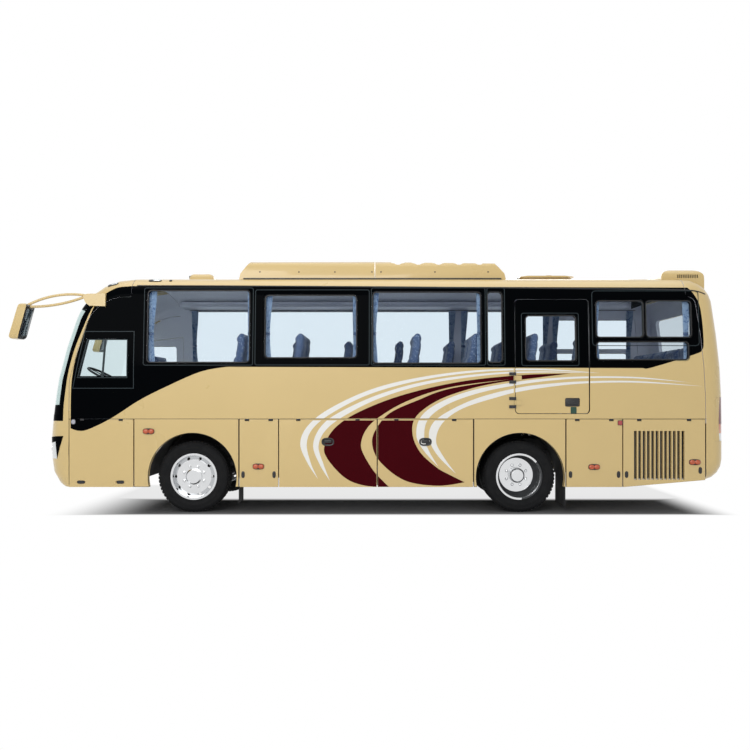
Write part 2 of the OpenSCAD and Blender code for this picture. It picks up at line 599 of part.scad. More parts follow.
module liner_2d() difference() {
    intersection() {
        circle(arch_r + 30, $fn = 128);
        translate([-700, 0]) square([1400, 700]);
    }
    circle(arch_r + 20, $fn = 128);
}
module wheel_housings() color([0.1, 0.1, 0.11]) sides() for (x = [x_fa, x_ra]) {
    translate([x, 0, axle_z]) across_y(-in_y, -560) liner_2d();
}
module mudflaps() color([0.07, 0.07, 0.08]) sides() for (q = [[x_fa, 120, 900], [x_ra, 70, 640]])
    block(q[0] + arch_r + 20, q[0] + arch_r + 30, -in_y, -q[2], q[1], axle_z);

// Rails of C section with cross members between them and posts that carry the floor
module frame_rails(x0, x1, z0) sides() difference() {
    block(x0, x1, rail_y - 40, rail_y + 40, z0, z0 + rail_h);
    block(x0 - 1, x1 + 1, rail_y - 32, rail_y + 60, z0 + 10, z0 + rail_h - 10);
}
module frame_posts(posts, z0, ztop) for (x = posts) {
    sides() block(x, x + 60, rail_y - 40, rail_y - 32, z0 + rail_h + fit, ztop);
    block(x, x + 60, fit + 40 - rail_y, rail_y - 40 - fit, z0 + 30, z0 + rail_h - 30);
}
module floor_beams(posts) for (x = posts) block(x, x + 60, 20 - in_y, in_y - 20, deck_z0 - 70, deck_z0);
front_rail_z = 640;
rear_rail_z = 740;
front_posts = [x_front + 1480, x_front + 2400, x_front + 3060];
rear_posts = [f_arch2 + 20, x_ra - 420, x_ra + 360, x_ra + 2300];
module chassis() color([0.13, 0.13, 0.14]) {
    difference() {
        union() {
            frame_rails(x_front + 130 + fit, f_fill, front_rail_z);
            frame_posts([x_front + 500, x_front + 1160], front_rail_z, cab_z - deck_t);
            frame_posts(front_posts, front_rail_z, deck_z0 - 70 - fit);
            floor_beams(front_posts);
            block(x_front + 40, x_front + 130, -760, 760, front_rail_z - 20, front_rail_z + 120);
        }
        front_solid(beam_front, -300, wall_t + touch);
        rod_x(x_front, x_front + 200, 330, 620, tow_bore_r);
        rod_x(x_front, x_front + 200, -330, 620, tow_bore_r);
    }
    difference() {
        union() {
            frame_rails(f_arch2, x_rear - 40, rear_rail_z);
            frame_posts(rear_posts, rear_rail_z, deck_z0 - 70 - fit);
            floor_beams(rear_posts);
        }
        rear_solid(low_rear, -300, wall_t + touch);
    }
}
module luggage_bay() color([0.35, 0.36, 0.37]) {
    block(f_fill, f_arch2, -in_y + 10, in_y - 10, skirt_z + 13, skirt_z + 53);
    block(f_fill, f_fill + 30, -in_y + 10, in_y - 10, skirt_z + 53, deck_z0);
    block(f_arch2 - 30, f_arch2, -in_y + 10, in_y - 10, skirt_z + 53, deck_z0);
}
cab_rear = x_front + 1372;
well_y = rail_y + 50;
// Depth of the entrance steps against the width that the frame leaves
step_k = (in_y - 30 - well_y) / 670;
module floor_deck() color([0.4, 0.4, 0.42]) {
    difference() {
        union() {
            block(cab_rear, f_end + 30, -in_y, in_y, deck_z0, floor_z);
            block(cab_rear, cab_rear + 40, -in_y, in_y, cab_z - deck_t, deck_z0 - fit);
            block(x_front + 60, cab_rear - fit, -in_y, well_y, cab_z - deck_t, cab_z);
            block(x_rear - 990, f_end + 30, -in_y, in_y, floor_z + fit, floor_z + 230);
        }
        front_solid(deck_front, -300, wall_t + touch);
        rear_solid(low_rear, -300, wall_t + touch);
    }
    // Entrance steps: each tread with the riser that stands on it, then their end wall and landing
    for (q = [[240, 0, 830, cab_z], [465, 210, 625, 800 - fit], [670, 435, 420, 595 - fit]]) {
        y0 = well_y + fit + step_k * q[1];
        block(f_front + 30, door_x1 - 20 - fit, y0, well_y + step_k * q[0], q[2] - 30, q[2]);
        block(f_front + 30, door_x1 - 20 - fit, y0, y0 + 30, q[2] + fit, q[3]);
    }
    block(door_x1 - 20, door_x1 + 10, well_y + fit, in_y - 10, 390, cab_z - deck_t - fit);
    block(door_x1 - 20, cab_rear - fit, well_y + fit, in_y - 10, cab_z - deck_t, cab_z);
}
module dashboard() color([0.3, 0.31, 0.35]) {
    difference() {
        union() {
            across_y(60 - in_y, 300) polygon([[x_front + 60, cab_z], [x_front + 520, cab_z], [x_front + 500, 1300],
                [x_front + 560, 1560], [x_front + 520, 1640], [x_front + 60, 1500]]);
            across_y(299, in_y - 60) polygon([[x_front + 60, 1150], [x_front + 300, 1150], [x_front + 330, 1500],
                [x_front + 60, 1500]]);
            block(x_front + 250, post_x + 40, post_y - 36, post_y + 2, 1290, 1320);
        }
        front_solid(dash_front, -300, wall_t + touch);
        rod_z(post_x, post_y, 1200, 1400, 20 + fit);
    }
    wheel_place() {
        translate([0, 0, -480]) cylinder(h = 450, r = 32, $fn = 32);
        translate([0, 0, -40]) cylinder(h = 60, r = 10, $fn = 32);
    }
}
module wheel_place() translate([x_front + 622, -620, 1800]) rotate([0, 28, 0]) children();
module steering_wheel() color([0.06, 0.06, 0.07]) wheel_place() {
    rotate_extrude($fn = 96) translate([222, 0]) circle(15, $fn = 24);
    difference() {
        union() {
            translate([0, 0, -26]) cylinder(h = 40, r = 48, $fn = 48);
            for (a = [0, 90, 180, 270]) rotate([0, 0, a]) translate([0, -14, -8]) cube([222, 28, 10]);
        }
        translate([0, 0, -27]) cylinder(h = 48 - 1, r = 10 + fit, $fn = 32);
    }
}

// Seat cushion and back seen from the side, facing forward, with the back's foot at the origin
seat_top = 405;
seat_cushion = [[-455, 0], [-472, 95], [-430, 130], [-107, 101], [-103, 0]];
seat_back = [[-98, 0], [-95, 100], [0, 445], [28, 655], [62, 723], [120, 727], [140, 675], [118, 395], [50, 0]];
module seat(w, sx = 1, sz = 1) {
    across_y(0, w) polygon([for (p = seat_cushion) [p[0] * sx, p[1] * sz]]);
    across_y(0, w) polygon([for (p = seat_back) [p[0] * sx, p[1] * sz]]);
}
module seat_pair(x, y, z) translate([x, y, z]) {
    for (k = [0, 1]) translate([0, k * (seat_w + 12), seat_top + fit]) seat(seat_w);
    block(-400, -10, 0, 2 * seat_w + 12, seat_top - 45, seat_top);
    block(-330, -60, 40, 100, 0, seat_top - 35);
    block(-330, -60, 2 * seat_w - 90, 2 * seat_w - 30, 0, seat_top - 35);
}
row_x0 = x_front + 2530;
seat_in = 72;
module passenger_seats() color([0.25, 0.3, 0.55]) {
    for (i = [0:6]) {
        seat_pair(row_x0 + row_pitch * i, -in_y + seat_in, floor_z);
        seat_pair(row_x0 - 200 + row_pitch * i, in_y - seat_in - 12 - 2 * seat_w, floor_z);
    }
    for (k = [-2:2]) translate([x_rear - 520, k * 455 - 220, floor_z + 230 + fit]) seat(seat_w, 1, 1.02);
}
module driver_seat() color([0.2, 0.22, 0.3]) translate([x_front + 1290, -860, cab_z]) {
    translate([0, 0, 385 + fit]) seat(480, 1.05, 0.95);
    block(-380, -80, 80, 400, 0, 385);
}
module luggage_racks() color([0.8, 0.8, 0.82]) sides() along_x(x_roof0 + 80, x_roof1 - 60) difference() {
    polygon([[-in_y, cant_z - 50], [320 - in_y, cant_z - 20], [350 - in_y, cant_z + 20], [340 - in_y, cant_z + 55],
        [-in_y, cant_z + 35]]);
    difference() {
        translate([-half_w - 100, cant_z - 155]) square([500, 400]);
        section_2d(wall_t + touch, skirt_z);
    }
}
// Curtain positions along the body: left and right
left_drapes = [1400, 2700, 2920, 4080, 4310, 5700, 7210, 8400];
right_drapes = [1380, 2360, 2540, 3980, 4190, 5530, 5730, 7050, 7210, 8400];
module curtains() color([0.75, 0.8, 0.88]) for (s = [-1, 1]) scale([1, s, 1])
    intersection() {
        skin(0, wall_t + 32, 1900, 2920);
        across_y(-half_w, -half_w + 300) for (d = s < 0 ? right_drapes : left_drapes)
            translate([x_front + d, 1930]) square([110, 970]);
        along_x(x_front, x_rear) section_2d(wall_t + touch, skirt_z);
    }

// Front axle beam with kingpins and leaf springs
module spring_2d(z, rise) intersection() {
    difference() {
        translate([0, z + 1500]) circle(1500, $fn = 256);
        translate([0, z + 1500]) circle(1440, $fn = 256);
    }
    translate([-560, z - 10]) square([1120, 300]);
}
module springs(xc, z, ztop) sides() {
    translate([xc, 0, 0]) across_y(rail_y - 35, rail_y + 35) spring_2d(z);
    for (s = [-1, 1]) block(xc + s * 545 - 45, xc + s * 545 + 45, rail_y - 40, rail_y + 40, z + 75, ztop);
}
beam_z = axle_z - 70;
module front_axle() color([0.12, 0.12, 0.13]) {
    along_x(x_fa - 40, x_fa + 40) polygon([[-king_y, axle_z - 50], [-king_y, axle_z + 50], [-king_y + 90, axle_z + 50],
        [-620, beam_z], [620, beam_z], [king_y - 90, axle_z + 50], [king_y, axle_z + 50], [king_y, axle_z - 50],
        [king_y - 110, axle_z - 50], [600, beam_z - 80], [-600, beam_z - 80], [-king_y + 110, axle_z - 50]]);
    sides() {
        rod_z(x_fa, king_y, axle_z - 55, axle_z + 55, 42);
        rod_z(x_fa, king_y, axle_z - 100, axle_z + 100, 20);
        block(x_fa - 70, x_fa + 70, rail_y - 50, rail_y + 50, beam_z - 20, beam_z + 12);
    }
    springs(x_fa, beam_z, front_rail_z);
}
module knuckle(s) color([0.16, 0.16, 0.17]) scale([1, s, 1]) difference() {
    union() {
        rod_z(x_fa, king_y, axle_z + 59, axle_z + 96, 46);
        rod_z(x_fa, king_y, axle_z - 96, axle_z - 59, 46);
        block(x_fa - 46, x_fa + 46, king_y + 48, king_y + 72, axle_z - 96, axle_z + 96);
        block(x_fa - 46, x_fa + 46, king_y, king_y + 60, axle_z + 59, axle_z + 96);
        block(x_fa - 46, x_fa + 46, king_y, king_y + 60, axle_z - 96, axle_z - 59);
        rod_y(x_fa, king_y + 60, tyre_y + 98, axle_z, 40);
        block(x_fa, x_fa + steer_arm, king_y - 25, king_y + 25, axle_z - 96, axle_z - 66);
        rod_z(x_fa + steer_arm, king_y, axle_z - 96, axle_z - 66, 30);
        rod_z(x_fa + steer_arm, king_y, axle_z - 140, axle_z - 80, 12);
    }
    rod_z(x_fa, king_y, axle_z - 130, axle_z + 130, 20 + fit);
}
module knuckle_left() knuckle(-1);
module knuckle_right() knuckle(1);
module tie_rod() color([0.2, 0.2, 0.21]) difference() {
    union() {
        rod_y(x_fa + steer_arm, -king_y, king_y, axle_z - 120, 17);
        for (s = [-1, 1]) rod_z(x_fa + steer_arm, s * king_y, axle_z - 138, axle_z - 102, 30);
    }
    for (s = [-1, 1]) rod_z(x_fa + steer_arm, s * king_y, axle_z - 150, axle_z - 90, 12 + fit);
}
module rear_axle() color([0.12, 0.12, 0.13]) {
    rod_y(x_ra, -600, 600, axle_z, 68);
    rod_y(x_ra, -tyre_y + 75, tyre_y - 75, axle_z, 46);
    rod_y(x_ra, -115, 115, axle_z, 200);
    rod_x(x_ra, x_ra + 240, 0, axle_z + 20, 70);
    sides() block(x_ra - 80, x_ra + 80, rail_y - 50, rail_y + 50, axle_z, axle_z + 82);
    springs(x_ra, axle_z + 70, rear_rail_z);
}

// Wheel discs, outward along +Z before they are turned to their side
module on_wheel(x, s) translate([x, s * tyre_y, axle_z]) rotate([s < 0 ? 90 : -90, 0, 0]) children();
module nuts(z) for (i = [0:7]) rotate([0, 0, 45 * i + 22.5]) translate([137.5, 0, z]) cylinder(h = 26, r = 19, $fn = 6);
module wheel_front() color([0.8, 0.81, 0.83]) {
    difference() {
        rotate_extrude($fn = 96) polygon([[0, 132], [86, 132], [104, 116], [104, 94], [222, 94], [266, 58], [276, 112],
            [303, 112], [303, 101], [286, 97], [286, -97], [303, -101], [303, -112], [277, -112], [277, 40],
            [258, 52], [208, 84], [208, -80], [195, -80], [195, 80], [108, 80], [108, -125], [40 + fit, -125],
            [40 + fit, 104], [0, 104]]);
        for (i = [0:hand_holes - 1]) rotate([0, 0, 360 / hand_holes * i]) translate([240, 0, 0])
            cylinder(h = 130, r = 20, $fn = 32);
    }
    nuts(90);
}
module wheel_rear() color([0.75, 0.76, 0.78]) {
    g = twin_gap;
    rotate_extrude($fn = 96) polygon([[0, -18], [78, -18], [98, -40], [98, 12 - g / 2], [225, 12 - g / 2], [277, 70 - g / 2],
        [277, 112], [303, 112], [303, 101], [286, 97], [286, -97], [303, -101], [303, -112], [284, -112],
        [284, 112 - g], [303, 112 - g], [303, 101 - g], [286, 97 - g], [286, -97 - g], [303, -101 - g],
        [303, -112 - g], [277, -112 - g], [277, -70 - g / 2], [225, -12 - g / 2], [208, -12 - g / 2],
        [208, -75 - g], [195, -75 - g], [195, -14 - g / 2], [108, -14 - g / 2], [108, -45 - g],
        [46 + fit, -45 - g], [46 + fit, -60], [0, -60]]);
    nuts(8 - g / 2);
}
module tyre(z) color([0.05, 0.05, 0.05]) translate([0, 0, z]) rotate_extrude($fn = 128) polygon([[286 + fit, -93],
    [303.5, -97.5], [310, -112], [335, -0.48 * tyre_w], [385, -tyre_w / 2], [440, -0.46 * tyre_w], [tyre_r, -0.4 * tyre_w],
    [tyre_r, 0.4 * tyre_w], [440, 0.46 * tyre_w], [385, tyre_w / 2], [335, 0.48 * tyre_w], [310, 112],
    [303.5, 97.5], [286 + fit, 93]]);
module wheel_front_left() on_wheel(x_fa, -1) wheel_front();
module wheel_front_right() on_wheel(x_fa, 1) wheel_front();
module wheel_rear_left() on_wheel(x_ra, -1) wheel_rear();
module wheel_rear_right() on_wheel(x_ra, 1) wheel_rear();
module tyre_front_left() on_wheel(x_fa, -1) tyre(0);
module tyre_front_right() on_wheel(x_fa, 1) tyre(0);
module tyres_rear_left() on_wheel(x_ra, -1) {
    tyre(0);
    tyre(-twin_gap);
}
module tyres_rear_right() on_wheel(x_ra, 1) {
    tyre(0);
    tyre(-twin_gap);
}

module engine() color([0.22, 0.23, 0.24]) {
    block(x_ra + 860, x_ra + 2000, -330, 330, 480, 1100);
    block(x_ra + 900, x_ra + 1960, -200, 200, 400, 500);
    block(x_ra + 460, x_ra + 880, -190, 190, 500, 860);
    rod_x(x_ra + 241, x_ra + 480, 0, axle_z + 20, 45);
    sides() block(x_ra + 1300, x_ra + 1400, 300, rail_y - 40, rear_rail_z + 60, rear_rail_z + 110);
    rod_x(x_ra + 1990, x_ra + 2330, 150, 560, 45);
    rod_y(x_ra + 2400, -520, 520, 560, 130);
    sides() block(x_ra + 2370, x_ra + 2430, rail_y - 25, rail_y + 25, 600, rear_rail_z);
    rod_y(x_ra + 2400, -800, -500, 520, 40);
    block(x_ra + 1400, x_ra + 2280, 60 - in_y, 140 - in_y, 430, deck_z0);
}
module tanks() color([0.3, 0.31, 0.32]) {
    block(f_arch1 + 20, f_fill - 10, -1130, -520, 440, 1030);
    block(f_arch1 + 80, f_arch1 + 130, -1000, -950, 1000, deck_z0);
    block(f_fill - 130, f_fill - 80, -700, -650, 1000, deck_z0);
    block(f_arch1 + 20, f_fill - 10, 520, 1130, 500, 960);
    block(f_arch1 + 80, f_arch1 + 130, 950, 1000, 930, deck_z0);
    block(f_fill - 130, f_fill - 80, 650, 700, 930, deck_z0);
}

// Skirt flap on the left between two lines, hung from a round bead
module notch_xs(x0, x1) for (x = [x0 + (x1 - x0) * 0.2, x1 - (x1 - x0) * 0.2]) translate([x, 0, 0]) children();
module flap(x0, x1) difference() {
    union() {
        block(x0 + flap_gap, x1 - flap_gap, -half_w, -half_w + flap_t, skirt_z, hinge_z);
        rod_x(x0 + flap_gap, x1 - flap_gap, -hinge_y, hinge_z, bead_r);
    }
    notch_xs(x0, x1) {
        block(-28, 28, -half_w - 6, -hinge_y + bead_r + 6, hinge_z - bead_r - 5, hinge_z + bead_r + 5);
        rod_x(-65, 65, -hinge_y, hinge_z, 4 + fit);
    }
}
module flap_knuckles(x0, x1) notch_xs(x0, x1) {
    rod_x(-24, 24, -hinge_y, hinge_z, bead_r);
    block(-24, 24, -hinge_y - 6, -hinge_y + 6, hinge_z, sill_z);
    rod_x(-60, 60, -hinge_y, hinge_z, 4);
}
module flap_skin() color([0.93, 0.91, 0.84]) children();
module flap_front_left() flap_skin() difference() {
    flap(f_front + 2, f_arch0 - 4);
    for (x = [f_front + 160, f_arch0 - 180])
        block(x - 55, x + 55, -half_w - 1, -half_w + 14, skirt_z + 50, skirt_z + 78);
}
module flap_filler_left() flap_skin() flap(f_arch1, f_fill);
module flap_luggage_a_left() flap_skin() difference() {
    flap(f_fill, f_mid);
    across_y(-half_w - 1, -half_w + 16) polygon(round_box((f_fill + f_mid) / 2 - 75, 900, (f_fill + f_mid) / 2 + 75, 945, 20));
}
module flap_luggage_b_left() flap_skin() difference() {
    flap(f_mid, f_arch2);
    across_y(-half_w - 1, -half_w + 16) polygon(round_box((f_mid + f_arch2) / 2 - 75, 900, (f_mid + f_arch2) / 2 + 75, 945, 20));
}
module flap_service_left() flap_skin() flap(f_arch3, f_serv);
module flap_radiator_left() flap_skin() difference() {
    flap(f_serv, f_end);
    across_y(-half_w - 1, -half_w + 100) polygon([[f_serv, skirt_z - 1], [f_end + 1, skirt_z - 1], [f_end + 1, skirt_z + 91],
        [f_serv + 20, skirt_z]]);
    for (i = [0:grille_slots - 1]) block(f_serv + 165 + i * 616 / (grille_slots - 1) - 17,
        f_serv + 165 + i * 616 / (grille_slots - 1) + 17, -half_w - 1, -half_w + 60, 435, 1062);
}
module flap_luggage_a_right() flap_skin() mirror([0, 1, 0]) flap(f_fill, f_mid);
module flap_luggage_b_right() flap_skin() mirror([0, 1, 0]) flap(f_mid, f_arch2);
module flap_engine_right() flap_skin() mirror([0, 1, 0]) difference() {
    flap(f_arch3, f_end);
    across_y(-half_w - 1, -half_w + 100) polygon([[f_serv, skirt_z - 1], [f_end + 1, skirt_z - 1], [f_end + 1, skirt_z + 91],
        [f_serv + 20, skirt_z]]);
}
// Emergency door on two strap hinges at its front edge
em_hinge_x = em_x0 + 4;
em_hinge_y = half_w + 9.5;
em_hinge_zs = [1400, 1720];
module emergency_door() color([0.93, 0.91, 0.84]) difference() {
    union() {
        intersection() {
            skin(0, wall_t - 5, em_z0, em_z1);
            across_y(-half_w - 10, -half_w + 200)
                polygon(round_box(em_x0 + em_gap, em_z0 + em_gap, em_x1 - em_rear_gap, em_z1 - em_gap, 44));
        }
        for (z = em_hinge_zs) {
            block(em_hinge_x, em_hinge_x + 80, -em_hinge_y - 3, -half_w, z, z + 60);
            rod_z(em_hinge_x, -em_hinge_y, z, z + 60, 9);
        }
    }
    across_y(-half_w - 30, -half_w + 200) pane_2d(em_glass, 0, 45);
    intersection() {
        skin(-20, pane_in + touch, em_z0, em_z1);
        across_y(-half_w - 60, -half_w + 200) pane_2d(em_glass, 20, 60);
    }
    for (z = em_hinge_zs) rod_z(em_hinge_x, -em_hinge_y, z - 5, z + 65, 4 + fit);
    across_y(-half_w - 1, -half_w + 18) polygon(round_box(em_x1 - 323, 1378, em_x1 - 132, 1491, 20));
}
module emergency_glass() color([0.2, 0.3, 0.33]) intersection() {
    skin(glass_in, pane_in, em_z0, em_z1);
    across_y(-half_w - 10, -half_w + 200) pane_2d(em_glass, 19.5, 59);
}

// Hinge knuckles and pins of all lids and flaps, fixed to the body
module hinges() color([0.15, 0.15, 0.16]) {
    for (q = [[f_front + 4, f_arch0 - 4], [f_arch1, f_fill], [f_fill, f_mid], [f_mid, f_arch2], [f_arch3, f_serv],
        [f_serv, f_end]]) flap_knuckles(q[0], q[1]);
    mirror([0, 1, 0]) for (q = [[f_fill, f_mid], [f_mid, f_arch2], [f_arch3, f_end]]) flap_knuckles(q[0], q[1]);
    for (z = em_hinge_zs) {
        rod_z(em_hinge_x, -em_hinge_y, z - 45, z + 105, 4);
        for (k = [-43, 63]) {
            rod_z(em_hinge_x, -em_hinge_y, z + k, z + k + 40, 9);
            block(em_hinge_x - 80, em_hinge_x, -em_hinge_y - 3, -half_w, z + k, z + k + 40);
        }
    }
    for (y = [-250, 250]) {
        rod_y(lid_hinge_x, y - 20, y + 20, lid_hinge_z, bead_r);
        block(lid_hinge_x - 8, lid_hinge_x + 4, y - 20, y + 20, lid_hinge_z, lid_z1 + 24);
        rod_y(lid_hinge_x, y - 70, y + 70, lid_hinge_z, 4);
    }
    for (y = [-200, 200]) for (k = [-62, 34]) {
        rod_y(roof_hinge_x, y + k, y + k + 28, roof_hinge_z, 8);
        block(roof_hinge_x - 6, roof_hinge_x + 6, y + k, y + k + 28, roof_z + 6, roof_hinge_z);
        block(roof_hinge_x - 6, hatch_x - 350, y + k, y + k + 28, roof_z + 6, roof_z + 20);
        rod_y(roof_hinge_x, y - 60, y + 60, roof_hinge_z, 4);
    }
}

// Front door on the right, carried by a turning post with two arms
post_x = x_front + 540;
post_y = in_y - 62;
arm_zs = [620, 1180];
module front_door_arm() color([0.3, 0.3, 0.32]) {
    rod_z(post_x, post_y, 420 + fit, 1340, 20);
    for (z = arm_zs) {
        block(post_x, post_x + door_arm, post_y - 14, post_y + 14, z, z + 30);
        rod_z(post_x + door_arm, post_y, z, z + 30, 22);
        rod_z(post_x + door_arm, post_y, z - 50, z + 20, 9);
    }
}
module front_door() color([0.93, 0.91, 0.84]) difference() {
    union() {
        mirror([0, 1, 0]) difference() {
            intersection() {
                skin(0, 45, skirt_z, cant_z);
                across_y(-half_w - 10, -half_w + 200) door_leaf_2d();
            }
            across_y(-half_w - 30, -half_w + 200) pane_2d(door_pane, 0, 45);
            intersection() {
                skin(-20, pane_in + touch, skirt_z, cant_z);
                across_y(-half_w - 60, -half_w + 200) pane_2d(door_pane, 20, 60);
            }
        }
        for (z = arm_zs) {
            block(post_x + door_arm - 30, post_x + door_arm + 30, post_y, half_w - 30, z - 45, z - 10);
            rod_z(post_x + door_arm, post_y, z - 45, z - 10, 24);
        }
    }
    for (z = arm_zs) rod_z(post_x + door_arm, post_y, z - 60, z, 9 + fit);
}
door_pane = [x_front + 700, door_x1 - 120, 1330, 2330];
module front_door_glass() color([0.2, 0.3, 0.33]) mirror([0, 1, 0]) intersection() {
    skin(glass_in, pane_in, skirt_z, cant_z);
    across_y(-half_w - 10, -half_w + 200) pane_2d(door_pane, 19.5, 59);
}

chassis();
luggage_bay();
floor_deck();
front_cap();
windscreen();
headlamps();
side_wall_left();
side_wall_right();
arch_panels();
window_glass();
roof();
rear_cap();
tail_lamps();
roof_air_unit();
rear_roof_pod();
mirrors();
wipers();
wheel_housings();
mudflaps();
front_axle();
rear_axle();
engine();
tanks();
hinges();
dashboard();
driver_seat();
passenger_seats();
luggage_racks();
curtains();
steering_wheel();
knuckle_left();
knuckle_right();
tie_rod();
wheel_front_left();
wheel_front_right();
wheel_rear_left();
wheel_rear_right();
tyre_front_left();
tyre_front_right();
tyres_rear_left();
tyres_rear_right();
front_door();
front_door_glass();
front_door_arm();
emergency_door();
emergency_glass();
flap_front_left();
flap_filler_left();
flap_luggage_a_left();
flap_luggage_b_left();
flap_service_left();
flap_radiator_left();
flap_luggage_a_right();
flap_luggage_b_right();
flap_engine_right();
engine_lid();
roof_hatch();
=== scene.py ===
import json
import math

import bmesh
import bpy
from mathutils import Matrix, Vector
from mathutils.bvhtree import BVHTree

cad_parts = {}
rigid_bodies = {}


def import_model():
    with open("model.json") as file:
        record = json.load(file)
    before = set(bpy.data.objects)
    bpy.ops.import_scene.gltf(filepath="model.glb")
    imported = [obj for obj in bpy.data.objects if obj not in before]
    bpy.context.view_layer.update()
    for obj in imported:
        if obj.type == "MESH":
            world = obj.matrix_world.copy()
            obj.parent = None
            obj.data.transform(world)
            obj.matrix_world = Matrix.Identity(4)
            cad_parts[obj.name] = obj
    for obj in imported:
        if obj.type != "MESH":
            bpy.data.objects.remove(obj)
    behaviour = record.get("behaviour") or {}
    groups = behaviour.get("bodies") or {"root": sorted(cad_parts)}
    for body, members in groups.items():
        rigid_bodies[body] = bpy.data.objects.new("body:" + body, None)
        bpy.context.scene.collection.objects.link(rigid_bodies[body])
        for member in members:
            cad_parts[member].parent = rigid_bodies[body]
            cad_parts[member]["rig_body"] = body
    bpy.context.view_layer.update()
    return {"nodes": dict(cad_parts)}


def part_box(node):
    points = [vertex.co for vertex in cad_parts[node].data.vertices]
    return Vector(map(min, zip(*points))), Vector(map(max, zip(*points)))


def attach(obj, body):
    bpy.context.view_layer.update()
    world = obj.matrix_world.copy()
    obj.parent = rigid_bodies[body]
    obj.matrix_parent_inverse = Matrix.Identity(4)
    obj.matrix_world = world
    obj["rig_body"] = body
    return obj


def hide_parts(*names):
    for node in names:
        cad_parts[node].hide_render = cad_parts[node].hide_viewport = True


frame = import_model()

# Studio: a pale floor with a painted shadow under the near half of the body, which runs into a white
# surround, one wide lamp overhead and two soft ones at the sides. The camera stands level off the left side,
# at chest height, as for a catalogue picture.
side_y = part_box("side_wall_left")[0].y
eye = Vector((0.1395, side_y - 9.5, 1.49))
lens_mm = 35.2
frame_shift = (-0.0133, 0.0307)
camera_data = bpy.data.cameras.new("side_camera")
camera_data.lens = lens_mm
camera_data.sensor_width = 36
camera_data.shift_x, camera_data.shift_y = frame_shift
camera = bpy.data.objects.new("side_camera", camera_data)
camera.location = eye
camera.rotation_euler = (math.radians(90), 0, 0)
bpy.context.scene.collection.objects.link(camera)
bpy.context.scene.camera = camera
bpy.context.scene.view_settings.view_transform = "Standard"


def add(tree, kind, inputs=None, **settings):
    """New node in a tree, with its settings and the plain values or links of its inputs."""
    made = tree.nodes.new(kind)
    for key, value in settings.items():
        setattr(made, key, value)
    for key, value in (inputs or {}).items():
        if isinstance(value, bpy.types.NodeSocket):
            tree.links.new(value, made.inputs[key])
        else:
            made.inputs[key].default_value = value
    return made


def maths(tree, kind, *values):
    """Output of a maths node on plain values or links."""
    return add(tree, "ShaderNodeMath", dict(enumerate(values)), operation=kind).outputs[0]


def ranged(tree, value, start, full, low=0.0, high=1.0, **settings):
    """Output of a node that takes a value from one range to another."""
    limits = {"Value": value, "From Min": start, "From Max": full, "To Min": low, "To Max": high}
    return add(tree, "ShaderNodeMapRange", limits, **settings).outputs[0]


def parts_of(made):
    """Node tree of a material, its main shader and the place on the object."""
    made.use_nodes = True
    tree = made.node_tree
    return tree, tree.nodes["Principled BSDF"], add(tree, "ShaderNodeTexCoord").outputs["Object"]


def rays_that_see(tree):
    """One for rays from the camera and for those in gloss or glass, else zero."""
    path = add(tree, "ShaderNodeLightPath").outputs
    seen = maths(tree, "MAXIMUM", path["Is Camera Ray"], path["Is Glossy Ray"])
    return maths(tree, "MAXIMUM", seen, path["Is Transmission Ray"])


ambient_level = 0.62
world = bpy.data.worlds.new("white_surround")
bpy.context.scene.world = world
world.use_nodes = True
sky = world.node_tree
sky.nodes.clear()
soft = add(sky, "ShaderNodeBackground", {"Color": (0.93, 0.96, 1, 1), "Strength": ambient_level})
white = add(sky, "ShaderNodeBackground", {"Color": (1, 1, 1, 1), "Strength": 1})
either = add(sky, "ShaderNodeMixShader", {0: rays_that_see(sky), 1: soft.outputs[0], 2: white.outputs[0]})
add(sky, "ShaderNodeOutputWorld", {0: either.outputs[0]})


def lamp(name, place, aim, size, watts):
    """Large soft lamp that looks at a point."""
    data = bpy.data.lights.new(name, "AREA")
    data.shape = "RECTANGLE"
    data.size, data.size_y = size
    data.energy = watts
    made = bpy.data.objects.new(name, data)
    made.location = place
    made.rotation_euler = (Vector(aim) - Vector(place)).to_track_quat("-Z", "Y").to_euler()
    bpy.context.scene.collection.objects.link(made)


lamp("overhead", (0, -1.5, 8.5), (0, 0, 0), (13, 7), 300)
lamp("left_fill", (-4, -13, 6), (0, 0, 1.4), (10, 5), 620)
lamp("right_fill", (3, 12, 6), (0, 0, 1.6), (9, 5), 420)

floor_reach = 60
floor_mesh = bpy.data.meshes.new("floor")
floor_mesh.from_pydata([(-floor_reach, -floor_reach, 0), (floor_reach, -floor_reach, 0),
                        (floor_reach, floor_reach, 0), (-floor_reach, floor_reach, 0)], [], [(0, 1, 2, 3)])
floor = bpy.data.objects.new("floor", floor_mesh)
bpy.context.scene.collection.objects.link(floor)
floor_with_painted_shadow = bpy.data.materials.new("pale_floor")
tree, matt, spot = parts_of(floor_with_painted_shadow)
# Painted shadow: rays from the camera, gloss and glass see the floor darkened by depth to a dark grey, while
# light that bounces off it finds it pale
bounce, depth = 0.93, 0.80
painted_shadow_tone = maths(tree, "MULTIPLY_ADD", rays_that_see(tree), -depth, bounce)
tree.links.new(painted_shadow_tone, matt.inputs["Base Color"])
matt.inputs["Roughness"].default_value = 0.9
matt.inputs["Specular IOR Level"].default_value = 0.1
ground = add(tree, "ShaderNodeSeparateXYZ", {0: spot})
